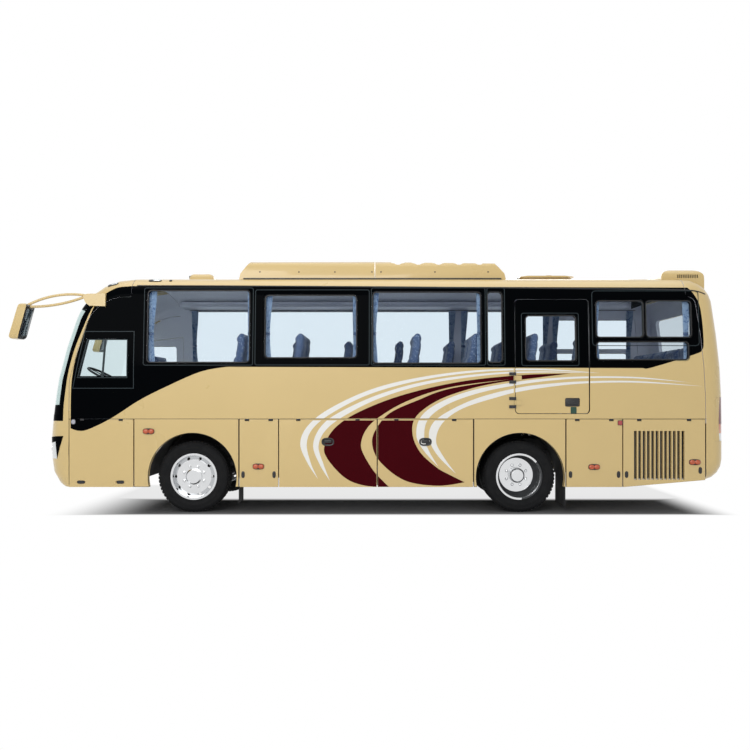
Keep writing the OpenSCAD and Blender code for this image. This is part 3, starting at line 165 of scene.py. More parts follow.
# Outside a window under the near half of the body the painted shadow fades and the floor turns white: axis,
# where that starts and is full, and its share
edges = [("X", -2.9, -4.25, 1), ("X", 4.0, 4.7, 1), ("Y", -1.28, -1.44, 1), ("Y", -0.1, 0.2, 0.8),
         ("Y", 1.0, 2.0, 1)]
beyond_painted_shadow = None
for axis, start, full, share in edges:
    fade = ranged(tree, ground.outputs[axis], start, full, high=share, interpolation_type="SMOOTHSTEP")
    beyond_painted_shadow = maths(tree, "MAXIMUM", beyond_painted_shadow, fade) if beyond_painted_shadow else fade
seen_beyond_painted_shadow = maths(tree, "MULTIPLY", beyond_painted_shadow, rays_that_see(tree))
glow = add(tree, "ShaderNodeEmission", {"Color": (1, 1, 1, 1), "Strength": 1})
blend = add(tree, "ShaderNodeMixShader", {0: seen_beyond_painted_shadow, 1: matt.outputs[0], 2: glow.outputs[0]})
tree.links.new(blend.outputs[0], tree.nodes["Material Output"].inputs[0])
floor_mesh.materials.append(floor_with_painted_shadow)

# Frame sections, axles and other iron under the floor: pressed and forged steel in black chassis
# paint, dulled by road dust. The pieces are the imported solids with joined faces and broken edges.


def finish(name, colour, rough, metal=0.0, coat=0.0, grain=(300, 0.02), mottle=(3, 0.06), specular=0.5):
    """Procedural finish: colour that drifts a little, uneven gloss and a fine relief."""
    made = bpy.data.materials.new(name)
    tree, shader, place = parts_of(made)
    gloss_spread, relief_gain, relief_depth, coat_rough = 0.12, 5, 0.002, 0.04
    for key, value in [("Metallic", metal), ("Coat Weight", coat), ("Coat Roughness", coat_rough),
                       ("Specular IOR Level", specular)]:
        shader.inputs[key].default_value = value
    drift = add(tree, "ShaderNodeTexNoise", {"Vector": place, "Scale": mottle[0], "Detail": 6.0})
    darker = [c * (1 - mottle[1]) for c in colour]
    lighter = [min(1, c * (1 + mottle[1])) for c in colour]
    tone = add(tree, "ShaderNodeMix", {0: drift.outputs["Fac"], 6: (*darker, 1), 7: (*lighter, 1)},
               data_type="RGBA")
    tree.links.new(tone.outputs[2], shader.inputs["Base Color"])
    speck = add(tree, "ShaderNodeTexNoise", {"Vector": place, "Scale": grain[0], "Detail": 4.0})
    gloss = ranged(tree, drift.outputs["Fac"], 0.3, 0.7, rough * (1 - gloss_spread),
                   rough * (1 + gloss_spread))
    tree.links.new(gloss, shader.inputs["Roughness"])
    bump = add(tree, "ShaderNodeBump", {"Height": speck.outputs["Fac"], "Strength": grain[1] * relief_gain,
                                        "Distance": relief_depth})
    tree.links.new(bump.outputs[0], shader.inputs["Normal"])
    return made


def piece(name, work, material, body):
    """Object of a finished bmesh in one finish, which rides on a body."""
    mesh = bpy.data.meshes.new(name)
    work.to_mesh(mesh)
    work.free()
    mesh.materials.append(material)
    made = bpy.data.objects.new(name, mesh)
    bpy.context.scene.collection.objects.link(made)
    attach(made, body)
    return made


def bridged(work, rings, ends=True):
    """Faces between rings of points in turn, capped at both ends or else closed on the first ring."""
    for a, b in zip(rings, rings[1:] if ends else rings[1:] + rings[:1]):
        for i in range(len(a)):
            k = (i + 1) % len(a)
            work.faces.new((a[i], a[k], b[k], b[i]))
    if ends:
        work.faces.new(rings[0][::-1])
        work.faces.new(rings[-1])


def plain_mesh(made):
    """Applies an object's modifiers, so that it is one plain mesh."""
    ready = bpy.data.meshes.new_from_object(made.evaluated_get(bpy.context.evaluated_depsgraph_get()))
    made.modifiers.clear()
    made.data = ready
    return made


weld_gap, sliver, cut_gap = 0.00002, 0.00001, 1e-6


def panel(node, finishes, edge=0.003, crease=33, pick=None, outline=(), edge_finish=-1):
    """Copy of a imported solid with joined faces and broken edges, which stands for it.
    pick gives the number of the finish for a face, from its centre and its normal, after the faces
    are cut along an outline of places along the body and heights; edge_finish is that of broken edges."""
    source = frame["nodes"][node]
    mesh = source.data.copy()
    mesh.materials.clear()
    for material in finishes:
        mesh.materials.append(material)
    work = bmesh.new()
    work.from_mesh(mesh)
    bmesh.ops.remove_doubles(work, verts=work.verts, dist=weld_gap)
    bmesh.ops.dissolve_degenerate(work, dist=sliver, edges=work.edges)
    join = {"angle_limit": math.radians(0.4), "delimit": {"MATERIAL"}}
    if not outline:
        bmesh.ops.dissolve_limit(work, verts=work.verts, edges=work.edges, **join)
    margin = 0.001
    for a, b in zip(outline, list(outline[1:]) + list(outline[:1])):
        near = [f for f in work.faces if all(
            min(v.co[k] for v in f.verts) < max(a[i], b[i]) + margin
            and max(v.co[k] for v in f.verts) > min(a[i], b[i]) - margin for i, k in ((0, 0), (1, 2)))]
        cut = set(near) | {e for f in near for e in f.edges} | {v for f in near for v in f.verts}
        bmesh.ops.bisect_plane(work, geom=list(cut), dist=cut_gap, plane_co=(a[0], 0, a[1]),
                               plane_no=(b[1] - a[1], 0, a[0] - b[0]))
    for face in work.faces:
        face.smooth = True
        face.material_index = pick(face.calc_center_median(), face.normal) if pick else 0
    bmesh.ops.dissolve_limit(work, verts=work.verts, edges=work.edges, **join)
    for line in work.edges:
        line.smooth = len(line.link_faces) == 2 and line.calc_face_angle(0) < math.radians(crease)
    work.to_mesh(mesh)
    work.free()
    made = bpy.data.objects.new(node + ".skin", mesh)
    bpy.context.scene.collection.objects.link(made)
    if edge:
        rim = made.modifiers.new("broken_edges", "BEVEL")
        rim.width = edge
        rim.segments = 2
        rim.limit_method = "ANGLE"
        rim.angle_limit = math.radians(crease)
        rim.harden_normals = True
        rim.material = edge_finish
        plain_mesh(made)
    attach(made, source["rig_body"])
    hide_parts(node)
    return made


chassis_black = finish("chassis_black", (0.018, 0.018, 0.02), 0.55, mottle=(5, 0.4), grain=(120, 0.05))
for node in ["chassis", "front_axle", "rear_axle", "knuckle_left", "knuckle_right", "tie_rod", "hinges"]:
    panel(node, [chassis_black], edge=0.002)
cast_iron = finish("cast_iron", (0.09, 0.092, 0.095), 0.62, metal=0.4, mottle=(6, 0.3), grain=(160, 0.08))
panel("engine", [cast_iron], edge=0.006)
tank_steel = finish("tank_steel", (0.22, 0.225, 0.23), 0.42, metal=0.8, mottle=(4, 0.15))
panel("tanks", [tank_steel], edge=0.012)
bay_sheet = finish("bay_sheet", (0.28, 0.285, 0.29), 0.5, metal=0.5, mottle=(4, 0.12))
panel("luggage_bay", [bay_sheet])
liner_plastic = finish("liner_plastic", (0.012, 0.012, 0.013), 0.7, grain=(220, 0.06), mottle=(6, 0.3))
panel("wheel_housings", [liner_plastic], edge=0.001)
panel("mudflaps", [liner_plastic], edge=0.002)
# Black boards on the middle line between the rails over each axle, dark sheets that put painted shade where
# the view through the wheel arches crosses: outlines in metres, cut to stand on the cross members
shade_boards = {"front": [(-2.821, 0.66), (-1.963, 0.66), (-1.963, 0.7905), (-1.74, 0.7905), (-1.74, 1.12),
                    (-2.945, 1.12), (-2.945, 0.7905), (-2.821, 0.7905)],
          "rear": [(1.534, 0.76), (2.13, 0.76), (2.13, 1.06), (2.05, 1.12), (1.295, 1.12), (1.295, 0.8905),
                   (1.534, 0.8905)]}
half_board = 0.004
for name, outline in shade_boards.items():
    work = bmesh.new()
    bridged(work, [[work.verts.new((x, y, z)) for x, z in outline] for y in (-half_board, half_board)])
    bmesh.ops.recalc_face_normals(work, faces=work.faces)
    piece("splash_board_" + name, work, liner_plastic, "coach")

# Body shell: pressed side walls, roof and moulded end caps in cream paint under clear lacquer, with the
# window band and the front quarter sprayed gloss black. Inside, the walls are lined in grey moulding.
metres_per_pixel = 0.012965
wheel_pixel = (192.4, 513.0)
axle_x = sum(corner.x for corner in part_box("wheel_front_left")) / 2


def on_side(px, py):
    """Place along the body and height of a pixel of the side view on the flat of the left side."""
    return axle_x + (px - wheel_pixel[0]) * metres_per_pixel, (wheel_pixel[1] - py) * metres_per_pixel


def through(points, count):
    """Smooth line through points, as an even number of places along it."""
    ends = [points[0]] + list(points) + [points[-1]]
    spots = []
    for i in range(count):
        t = i / (count - 1) * (len(points) - 1)
        k = min(int(t), len(points) - 2)
        a, b, c, d = (Vector(p) for p in ends[k:k + 4])
        u = t - k
        spots.append(0.5 * (2 * b + (c - a) * u + (2 * a - 5 * b + 4 * c - d) * u * u
                            + (3 * b - a - 3 * c + d) * u ** 3))
    return spots


# Outline of the black band in pixels of the side view: its nose, its lower edge and its rear end
band_top = 284.8
band_nose = [(134.8, band_top), (117.9, 286.0), (110.6, 288.5), (104.0, 292.7), (97.0, 299.0),
             (92.7, 306.4), (87.6, 319.4), (81.5, 338.8), (76.0, 357.0), (73.0, 372.7), (71.2, 390.9),
             (70.8, 428.4)]
band_low = [(70.8, 428.4), (78.8, 430.8), (88.9, 429.3), (112.0, 418.0), (140.0, 400.0), (170.0, 385.0),
            (200.0, 372.0), (223.8, 367.3), (235.4, 367.0)]
band_rear = [(643.2, 368.2), (651.5, 367.7), (696.0, 354.0), (702.0, 350.0), (704.0, 344.5), (703.4, 324.0),
             (701.0, 305.0), (695.0, 293.0), (688.0, band_top)]
# Edge of the black surround behind the windscreen, from the brow down, closed well ahead of the body
screen_edge = [(98.0, 299.0), (90.6, 308.0), (83.2, 325.8), (76.3, 343.4), (72.0, 357.0), (68.4, 372.0),
               (65.8, 389.8), (63.9, 405.0), (63.2, 421.0)]


def drawn(pixels, count):
    """Smooth line through pixels of the side view, as places along the body and heights."""
    return [tuple(spot) for spot in through([on_side(*pixel) for pixel in pixels], count)]


ahead_px = 20.0
surround = drawn(screen_edge, 24)
surround += [on_side(ahead_px, screen_edge[-1][1]), on_side(ahead_px, screen_edge[0][1])]
band = drawn(band_nose, 24)[:-1] + drawn(band_low, 30)[:-1] + drawn(band_rear, 26)[:-1]


def within(spot, outline):
    """True if a place is inside an outline, seen from the side."""
    inside = False
    for (x0, z0), (x1, z1) in zip(outline, outline[1:] + outline[:1]):
        if (z0 > spot.z) != (z1 > spot.z) and spot.x < x0 + (spot.z - z0) * (x1 - x0) / (z1 - z0):
            inside = not inside
    return inside


cream_paint = finish("cream_paint", (0.592, 0.431, 0.176), 0.3, coat=0.5, grain=(900, 0.004),
                     mottle=(1.2, 0.03))
band_paint = finish("band_paint", (0.0010, 0.0014, 0.0019), 0.12, grain=(900, 0.003), mottle=(1.5, 0.15),
                    specular=0.008)
lining = finish("grey_lining", (0.80, 0.79, 0.86), 0.6, grain=(400, 0.03), mottle=(4, 0.04))
seal_rubber = finish("seal_rubber", (0.01, 0.01, 0.011), 0.5, grain=(260, 0.03), mottle=(8, 0.2))
shell_finishes = [cream_paint, band_paint, lining, seal_rubber]
# Least shares of a normal: of a face that looks out or in, of one that looks along the body, and of the
# inside of a cap, which is lined above a height
facing, end_on = 0.5, 0.8
inside_x, inside_least, lined_z = 0.4, 0.08, 0.9
for node in ["side_wall_left", "side_wall_right", "emergency_door", "front_door"]:
    out = -1 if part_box(node)[0].y < 0 else 1
    opens = node.endswith("door")
    panel(node, shell_finishes, edge=0.004 if opens else 0.0025, outline=band,
          edge_finish=3 if opens else -1,
          pick=lambda c, n: int(within(c, band)) if n.y * out > facing else 2 if n.y * out < -facing else 3)
panel("roof", [cream_paint, lining], pick=lambda c, n: 1 if n.z < -0.1 else 0)
sill_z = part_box("flap_front_left")[1].z
side_most = 1.15
panel("front_cap", shell_finishes, edge=0.004, outline=band + surround,
      pick=lambda c, n: 3 if n.x > end_on and abs(c.y) > side_most and c.z < sill_z
      else 2 if n.x * inside_x - n.y * c.y > inside_least and c.z > lined_z
      else int(within(c, band) or within(c, surround)))
panel("rear_cap", shell_finishes, edge=0.0015, outline=band,
      pick=lambda c, n: 3 if n.x < -end_on and abs(c.y) > side_most and c.z < sill_z
      else 2 if -n.x * inside_x - n.y * c.y > inside_least else int(within(c, band)))
panel("flap_front_left", [cream_paint, band_paint, seal_rubber], edge=0.007, edge_finish=2, outline=band,
      pick=lambda c, n: int(within(c, band)))
panel("arch_panels", [cream_paint, seal_rubber], edge=0.006, edge_finish=1)
for node in ["flap_filler_left", "flap_luggage_a_left", "flap_luggage_b_left", "flap_service_left",
             "flap_radiator_left", "flap_luggage_a_right", "flap_luggage_b_right", "flap_engine_right",
             "engine_lid"]:
    panel(node, [cream_paint, seal_rubber], edge=0.007, edge_finish=1)
panel("roof_air_unit", [cream_paint], edge=0.006)
low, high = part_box("rear_roof_pod")
louvre_from, louvre_to = low.x + 0.15, high.x - 0.06
panel("rear_roof_pod", [cream_paint, seal_rubber], edge=0.003,
      pick=lambda c, n: int(abs(n.x) > end_on and louvre_from < c.x < louvre_to))
panel("roof_hatch", [cream_paint], edge=0.008)

# Glass: toughened panes, lightly tinted, bonded into their rebates. Lamp light passes straight through
# so that the cabin is lit, and the gloss grows where a pane is seen at a low angle.


def pane(name, tint, film, gloss_most):
    """Clear tinted glass, with a share of dark gloss that grows to the side."""
    made = bpy.data.materials.new(name)
    tree, shader, place = parts_of(made)
    shader.inputs["Base Color"].default_value = (0.02, 0.03, 0.035, 1)
    shader.inputs["Roughness"].default_value = 0.02
    clear = add(tree, "ShaderNodeBsdfTransparent", {"Color": (*tint, 1)})
    edge = add(tree, "ShaderNodeLayerWeight", {"Blend": 0.12})
    smear = add(tree, "ShaderNodeTexNoise", {"Vector": place, "Scale": 2.5, "Detail": 3.0})
    share = ranged(tree, smear.outputs["Fac"], 0, 1, film * 0.7, film * 1.3)
    total = maths(tree, "ADD", maths(tree, "MINIMUM", edge.outputs["Fresnel"], gloss_most), share)
    both = add(tree, "ShaderNodeMixShader", {0: total, 1: clear.outputs[0], 2: shader.outputs[0]})
    tree.links.new(both.outputs[0], tree.nodes["Material Output"].inputs[0])
    return made


side_glass = pane("tinted_glass", (0.93, 0.965, 0.988), 0.015, 0.25)
for node in ["window_glass", "front_door_glass", "emergency_glass"]:
    panel(node, [side_glass], edge=0)
screen_glass = pane("screen_glass", (0.93, 0.98, 0.975), 0.015, 0.09)
# Edge of the clear glass inside the black printed border, a little ahead of the edge of the surround
border_px = 3.2
clear_glass = drawn([(px - border_px, py) for px, py in screen_edge[1:-1]], 20)
clear_glass += [on_side(ahead_px, screen_edge[-2][1]), on_side(ahead_px, screen_edge[1][1])]
panel("windscreen", [screen_glass, band_paint], edge=0, outline=clear_glass,
      pick=lambda c, n: 1 - int(within(c, clear_glass)))

# Livery: cut vinyl foil in white and maroon, laid on by hand and trimmed at every panel gap, so each
# piece moves with the flap or door that it is on. Edges are read off the side view, in its pixels.
foil_lift = 0.0007
foil_margin = 0.004
sweep_steps = 90
waist_line = on_side(*band_low[-1])[1]

# Each sweep: its colour, its outer edge and its inner edge, from the lower tip to the upper one
sweeps = [
    ("white",
     [(318, 479), (307, 462), (300.3, 443), (309, 424.5), (332.5, 407), (373.6, 388.6), (422, 377),
      (480, 370), (540, 368.8), (600, 373)],
     [(318, 479), (310.5, 462), (306.9, 443), (314.2, 427), (335.5, 411), (372, 393.4), (422, 380),
      (480, 372), (540, 370.4), (600, 373)]),
    ("white",
     [(330, 481), (319.5, 464), (313.2, 445), (321.5, 426), (341.3, 411.3), (381, 393.7), (429, 380.8),
      (488, 373.2), (540, 371.4), (600, 373.1)],
     [(330, 481), (323.5, 464), (318.6, 446), (326, 430), (345.5, 415.2), (381, 397.8), (429, 383.8),
      (488, 375.2), (540, 372.6), (600, 373.1)]),
    ("maroon",
     [(389.7, 487.6), (363, 485.2), (344, 477), (327, 458), (324.8, 445), (335.5, 427.5), (359, 412),
      (401.5, 395.4), (458.7, 382), (520, 375.2), (570, 373.5)],
     [(389.7, 487.6), (379, 477), (372, 468.6), (363, 453), (361.1, 443), (366, 430), (378, 418),
      (407, 401.2), (451.4, 387), (520, 378.4), (570, 373.5)]),
    ("maroon",
     [(464.6, 482.3), (437, 485.7), (404.4, 480.3), (379.5, 461), (372.1, 442), (378, 426), (391, 412.4),
      (417, 400.6), (451.4, 388.4), (520, 378.2), (570, 373.5)],
     [(464.6, 482.3), (450, 475), (436.7, 467.5), (420, 452), (412.5, 434), (416, 416.8), (436.7, 401),
      (466, 390), (498, 382.8), (540, 377.4), (570, 373.5)]),
    ("white",
     [(438.2, 466.5), (424, 451), (416.4, 436), (420.6, 417.2), (439.6, 402.5), (473.4, 390), (520, 381.4),
      (555, 377.9), (590, 376.4), (639, 377.2), (690, 382.6)],
     [(438.2, 466.5), (429, 451), (424.2, 436.3), (428.6, 418.7), (448.4, 404), (480.7, 392.6), (520, 384.6),
      (555, 380.2), (590, 378.2), (639, 378.6), (690, 382.6)]),
    ("white",
     [(455.8, 473.7), (438, 456), (429.1, 439), (433, 423), (451.4, 409.6), (480.7, 397), (520, 387.4),
      (555, 383.2), (590, 381.2), (639, 381.2), (704, 386.4)],
     [(455.8, 473.7), (443, 456), (436, 440.5), (442.6, 423), (463, 408.4), (498, 397), (520, 391.6),
      (555, 386.2), (590, 383.2), (639, 382.8), (704, 386.4)])]
foils = {"white": finish("white_foil", (0.76, 0.745, 0.70), 0.32, coat=0.5, grain=(700, 0.006),
                         mottle=(2, 0.02)),
         "maroon": finish("maroon_foil", (0.047, 0.0008, 0.003), 0.34, grain=(700, 0.006), mottle=(2, 0.08),
                          specular=0.03)}
low_wall, high_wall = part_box("side_wall_left")
low_door, high_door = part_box("emergency_door")
# Panels that carry foil: node, then the front, rear, lower and upper limit of its flat face
latch_gap, hinge_gap, door_edge, flap_hem = 0.008, 0.014, 0.004, 0.012
foil_panels = [("side_wall_left", low_wall.x, low_door.x - latch_gap, low_wall.z, waist_line),
               ("side_wall_left", high_door.x + hinge_gap, high_wall.x, low_wall.z, waist_line),
               ("emergency_door", low_door.x + door_edge, high_door.x, low_door.z, waist_line),
               ("side_wall_right", low_wall.x, high_wall.x, low_wall.z, waist_line)]
for node in ["flap_luggage_a_left", "flap_luggage_b_left", "flap_luggage_a_right", "flap_luggage_b_right"]:
    low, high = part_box(node)
    foil_panels.append((node, low.x, high.x, low.z, high.z - flap_hem))
for number, (node, front, rear, low, high) in enumerate(foil_panels):
    out = 1 if node.endswith("right") else -1
    for colour, material in foils.items():
        work = bmesh.new()
        for tone, outer, inner in sweeps:
            if tone != colour:
                continue
            a, b = ([work.verts.new((x, out * (foil_lift - side_y), z)) for x, z in drawn(edge, sweep_steps)]
                    for edge in (outer, inner))
            for i in range(sweep_steps - 1):
                work.faces.new((a[i], a[i + 1], b[i + 1], b[i]))
        limits = [((front + foil_margin, 0, 0), (-1, 0, 0)), ((rear - foil_margin, 0, 0), (1, 0, 0)),
                  ((0, 0, low + foil_margin), (0, 0, -1)), ((0, 0, high - foil_margin), (0, 0, 1))]
        for place, away in limits:
            bmesh.ops.bisect_plane(work, geom=work.verts[:] + work.edges[:] + work.faces[:], dist=cut_gap,
                                   plane_co=place, plane_no=away, clear_outer=True)
        if work.faces:
            for face in work.faces:
                if face.normal.y * out < 0:
                    face.normal_flip()
            piece(f"{colour}_foil.{node}.{number}", work, material, frame["nodes"][node]["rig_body"])
        else:
            work.free()

# Flap fittings: black moulded pull handles and quarter-turn latches, amber side lamps and a red
# reflector, each screwed to the panel that it serves and moving with it.
black_plastic = finish("black_plastic", (0.012, 0.012, 0.013), 0.38, grain=(320, 0.05), mottle=(10, 0.2))
amber_lens = finish("amber_lens", (0.46, 0.07, 0.012), 0.2, coat=0.5, grain=(160, 0.02), mottle=(20, 0.1))
grey_lens = finish("grey_lens", (0.36, 0.36, 0.40), 0.15, coat=0.6, grain=(160, 0.02), mottle=(20, 0.1))
green_plate = finish("green_plate", (0.008, 0.05, 0.03), 0.4, grain=(320, 0.02), mottle=(20, 0.1))
red_lens = finish("red_lens", (0.36, 0.012, 0.016), 0.14, coat=1.0, grain=(160, 0.02), mottle=(20, 0.1))


def oval(width, height, square=2.6, count=32):
    """Outline between an ellipse and a rectangle."""
    spots = []
    for i in range(count):
        a = 2 * math.pi * i / count
        c, s = math.cos(a), math.sin(a)
        spots.append((width / 2 * math.copysign(abs(c) ** (2 / square), c),
                      height / 2 * math.copysign(abs(s) ** (2 / square), s)))
    return spots


def stacked(work, outline, levels, place):
    """Closed solid of one outline at several levels (inset, height), put on the body by place(u, v, h)."""
    rings = []
    for inset, height in levels:
        ring = []
        for u, v in outline:
            out = math.hypot(u, v)
            share = max(0.0, out - inset) / out
            ring.append(work.verts.new(place(u * share, v * share, height)))
        rings.append(ring)
    bridged(work, rings)


def closed_piece(name, work, material, body, crease=35):
    """Piece with its normals outward, smooth up to a crease angle."""
    bmesh.ops.recalc_face_normals(work, faces=work.faces)
    for face in work.faces:
        face.smooth = True
    for line in work.edges:
        line.smooth = len(line.link_faces) == 2 and line.calc_face_angle(0) < math.radians(crease)
    return piece(name, work, material, body)


def side_place(px, py, out):
    """Placing function on the left side for -1, else the right: u along the body, v up, h outward."""
    x, z = on_side(px, py)
    return lambda u, v, h: (x + u, out * (h - side_y), z + v)


# Kind of fitting, its pixel on the side view and the panel under it
fittings = [("pull", 327.9, 441.9, "flap_luggage_a_left"), ("pull", 425.4, 441.9, "flap_luggage_b_left"),
            ("latch", 243.2, 474.6, "flap_filler_left"), ("latch", 274.2, 474.6, "flap_filler_left"),
            ("latch", 570.4, 474.5, "flap_service_left"), ("latch", 618.4, 474.5, "flap_service_left"),
            ("latch", 626.4, 474.5, "flap_radiator_left"), ("latch", 700.0, 470.4, "flap_radiator_left"),
            ("amber", 148.8, 431.4, "arch_panels"), ("amber", 258.5, 466.5, "flap_filler_left"),
            ("amber", 594.0, 467.0, "flap_service_left"), ("amber", 694.5, 462.2, "flap_radiator_left"),
            ("slot", 81.3, 482.1, "flap_front_left"), ("slot", 120.6, 482.1, "flap_front_left"),
            ("corner", 73.5, 421.9, "flap_front_left"), ("red", 620.0, 422.9, "flap_service_left"),
            ("grip", 572.3, 402.4, "emergency_door"), ("plate", 573.5, 410.2, "emergency_door")]
# The right side isn't in view and is taken to match, with its own door and engine flap
right_fittings = [
    ("pull", 327.9, 441.9, "flap_luggage_a_right"), ("pull", 425.4, 441.9, "flap_luggage_b_right"),
    ("latch", 570.4, 474.5, "flap_engine_right"), ("latch", 700.0, 470.4, "flap_engine_right"),
    ("amber", 148.8, 431.4, "arch_panels"), ("amber", 258.5, 466.5, "arch_panels"),
    ("amber", 594.0, 467.0, "flap_engine_right"), ("amber", 694.5, 462.2, "flap_engine_right"),
    ("pull", 124.0, 420.0, "front_door")]
bulb_lens = (amber_lens, oval(0.074, 0.062, 2.2),
             [(0, 0.008), (0.003, 0.018), (0.012, 0.025), (0.024, 0.028)])
# Layers of each kind: material, outline, levels and shift in u and v
layers = {
    "pull": [(black_plastic, oval(0.165, 0.108),
              [(0, -0.001), (0.001, 0.004), (0.007, 0.008), (0.02, 0.005), (0.024, 0.0005)], 0, 0),
             (black_plastic, oval(0.105, 0.05, 4),
              [(0, 0.0004), (0.002, 0.006), (0.006, 0.011), (0.012, 0.0125)], 0, 0.006)],
    "latch": [(black_plastic, oval(0.046, 0.088), [(0, -0.001), (0.001, 0.004), (0.006, 0.007)], 0, 0),
              (black_plastic, oval(0.026, 0.026, 2), [(0, 0.006), (0.001, 0.012), (0.004, 0.014)], 0, 0.018),
              (black_plastic, oval(0.022, 0.036, 3),
               [(0, 0.006), (0.002, 0.010), (0.005, 0.012)], 0, -0.020)],
    "amber": [(black_plastic, oval(0.152, 0.078, 3), [(0, -0.001), (0.001, 0.006), (0.004, 0.009)], 0, 0),
              (*bulb_lens, -0.034, 0), (*bulb_lens, 0.034, 0)],
    "slot": [(black_plastic, oval(0.094, 0.044, 4),
              [(0, -0.001), (0.001, 0.004), (0.006, 0.006), (0.010, 0.003)], 0, 0)],
    "corner": [(black_plastic, oval(0.066, 0.070, 2.4), [(0, -0.001), (0.001, 0.001), (0.005, 0.0015)], 0, 0),
               (grey_lens, oval(0.054, 0.058, 2.4), [(0, 0.001), (0.003, 0.0026), (0.012, 0.0033)], 0, 0)],
    "red": [(black_plastic, oval(0.066, 0.066, 8), [(0, -0.001), (0.001, 0.004), (0.003, 0.005)], 0, 0),
            (red_lens, oval(0.054, 0.054, 8), [(0, 0.004), (0.001, 0.008), (0.004, 0.0095)], 0, 0)],
    "grip": [(black_plastic, oval(0.186, 0.108, 14), [(0, -0.012), (0.001, -0.003), (0.005, -0.001)], 0, 0),
             (black_plastic, oval(0.142, 0.040, 6),
              [(0, -0.002), (0.002, 0.008), (0.007, 0.011)], 0, -0.008)],
    "plate": [(green_plate, oval(0.078, 0.084, 14), [(0, -0.0005), (0.001, 0.0014)], 0, 0)]}
gathered = {}
for out, (kind, px, py, node) in [(-1, f) for f in fittings] + [(1, f) for f in right_fittings]:
    put = side_place(px, py, out)
    body = frame["nodes"][node]["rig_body"]
    for material, outline, levels, du, dv in layers[kind]:
        work = gathered.setdefault((kind, material, body), bmesh.new())
        stacked(work, outline, levels, lambda u, v, h: put(u + du, v + dv, h))
for (kind, material, body), work in gathered.items():
    closed_piece(f"{kind}.{material.name}.{body}", work, material, body)

# Window surrounds: a rubber seal round each pane and thin satin frames that mark the bonded glass
# panels, the driver's sliding window and the emergency door's light. They sit on the black band.
waist_z = 1.895
wall_lean = math.radians(3.5)
rebate = 0.0195
satin_frame = finish("satin_frame", (0.016, 0.026, 0.03), 0.4, grain=(500, 0.01), mottle=(6, 0.1),
                     specular=0.2)


def wall_place(out):
    """Placing function on a side wall, left for -1 and right for 1: place along the body, height, lift."""
    return lambda x, z, h: (x, out * (-side_y - max(0, z - waist_z) * math.tan(wall_lean) + h), z)


def rounded(x0, x1, z0, z1, radius, steps=6):
    """Rectangle with rounded corners, counter-clockwise from the lower right."""
    spots = []
    for x, z, turn in [(x1 - radius, z0 + radius, 270), (x1 - radius, z1 - radius, 0),
                       (x0 + radius, z1 - radius, 90), (x0 + radius, z0 + radius, 180)]:
        for i in range(steps + 1):
            a = math.radians(turn + 90 * i / steps)
            spots.append((x + radius * math.cos(a), z + radius * math.sin(a)))
    return spots


def dense(outline, count=12):
    """Outline with extra points on each edge, so that it follows a bend in the wall."""
    spots = []
    for a, b in zip(outline, list(outline[1:]) + [outline[0]]):
        spots += [(a[0] + (b[0] - a[0]) * i / count, a[1] + (b[1] - a[1]) * i / count)
                  for i in range(count)]
    return spots


def hoop(work, loops, place):
    """Closed ring through several outlines, each with its lift; the last joins the first."""
    rings = [[work.verts.new(place(x, z, lift)) for x, z in outline] for outline, lift in loops]
    bridged(work, rings, ends=False)


def islands(node):
    """Lowest and highest corners of each separate solid in a node."""
    work = bmesh.new()
    work.from_mesh(frame["nodes"][node].data)
    bmesh.ops.remove_doubles(work, verts=work.verts, dist=weld_gap)
    left, boxes = set(work.verts), []
    while left:
        stack, found = [left.pop()], []
        while stack:
            v = stack.pop()
            found.append(v.co.copy())
            for line in v.link_edges:
                other = line.other_vert(v)
                if other in left:
                    left.remove(other)
                    stack.append(other)
        boxes.append((Vector([min(p[k] for p in found) for k in range(3)]),
                      Vector([max(p[k] for p in found) for k in range(3)])))
    work.free()
    return boxes


def bead(work, x0, x1, z0, z1, radius, profile, place):
    """Strip round a rectangle, from a profile of growth and lift."""
    hoop(work, [(rounded(x0 - g, x1 + g, z0 - g, z1 + g, radius + g), lift) for g, lift in profile], place)


corner_r = 0.045
# Rubber bead that laps the pane by 6 mm and the painted wall by 9 mm
seal_profile = [(0.009, -0.001), (0.0085, 0.0015), (0.004, 0.0032), (-0.002, 0.0022), (-0.006, -0.0035),
                (-0.003, -0.0045)]


def seal_round(work, low, high, out):
    """Seal of a pane that is given by its lowest and highest corners."""
    bead(work, low.x + rebate, high.x - rebate, low.z + rebate, high.z - rebate, corner_r, seal_profile,
         wall_place(out))


sides = ((-1, "left"), (1, "right"))
driver_rear, off_middle = -3.1, 2
for out, side in sides:
    work = bmesh.new()
    for low, high in islands("window_glass"):
        driver = out < 0 and high.x < driver_rear
        if (low.y + high.y) * out > off_middle and not driver:
            seal_round(work, low, high, out)
    closed_piece("window_seals_" + side, work, seal_rubber, "coach")
for node, body, out in [("emergency_glass", "emergency_leaf", -1), ("front_door_glass", "door_leaf", 1)]:
    work = bmesh.new()
    seal_round(work, *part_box(node), out)
    closed_piece(node + "_seal", work, seal_rubber, body)

# Satin frames on the side view: body, left, right, upper and lower pixel, and corner radius
frames = [("coach", 143.0, 253.0, 287.0, 365.6, 0.03), ("coach", 254.6, 369.6, 289.0, 365.4, 0.03),
          ("coach", 371.0, 486.0, 287.0, 365.6, 0.03), ("coach", 487.2, 505.4, 287.0, 365.6, 0.03),
          ("coach", 592.5, 700.0, 290.0, 346.0, 0.05), ("emergency_leaf", 521.5, 579.3, 312.6, 366.0, 0.03)]
frame_w = 0.009
frame_profile = [(0, -0.001), (0, 0.0012), (-0.002, 0.0022), (-frame_w + 0.002, 0.0022), (-frame_w, 0.0012),
                 (-frame_w, -0.001)]
frame_works = {"coach": bmesh.new(), "emergency_leaf": bmesh.new()}
for body, px0, px1, py0, py1, radius in frames:
    (x0, z1), (x1, z0) = on_side(px0, py0), on_side(px1, py1)
    bead(frame_works[body], x0, x1, z0, z1, radius, frame_profile, wall_place(-1))
work = frame_works["coach"]
margin, least_h = 0.05, 0.6
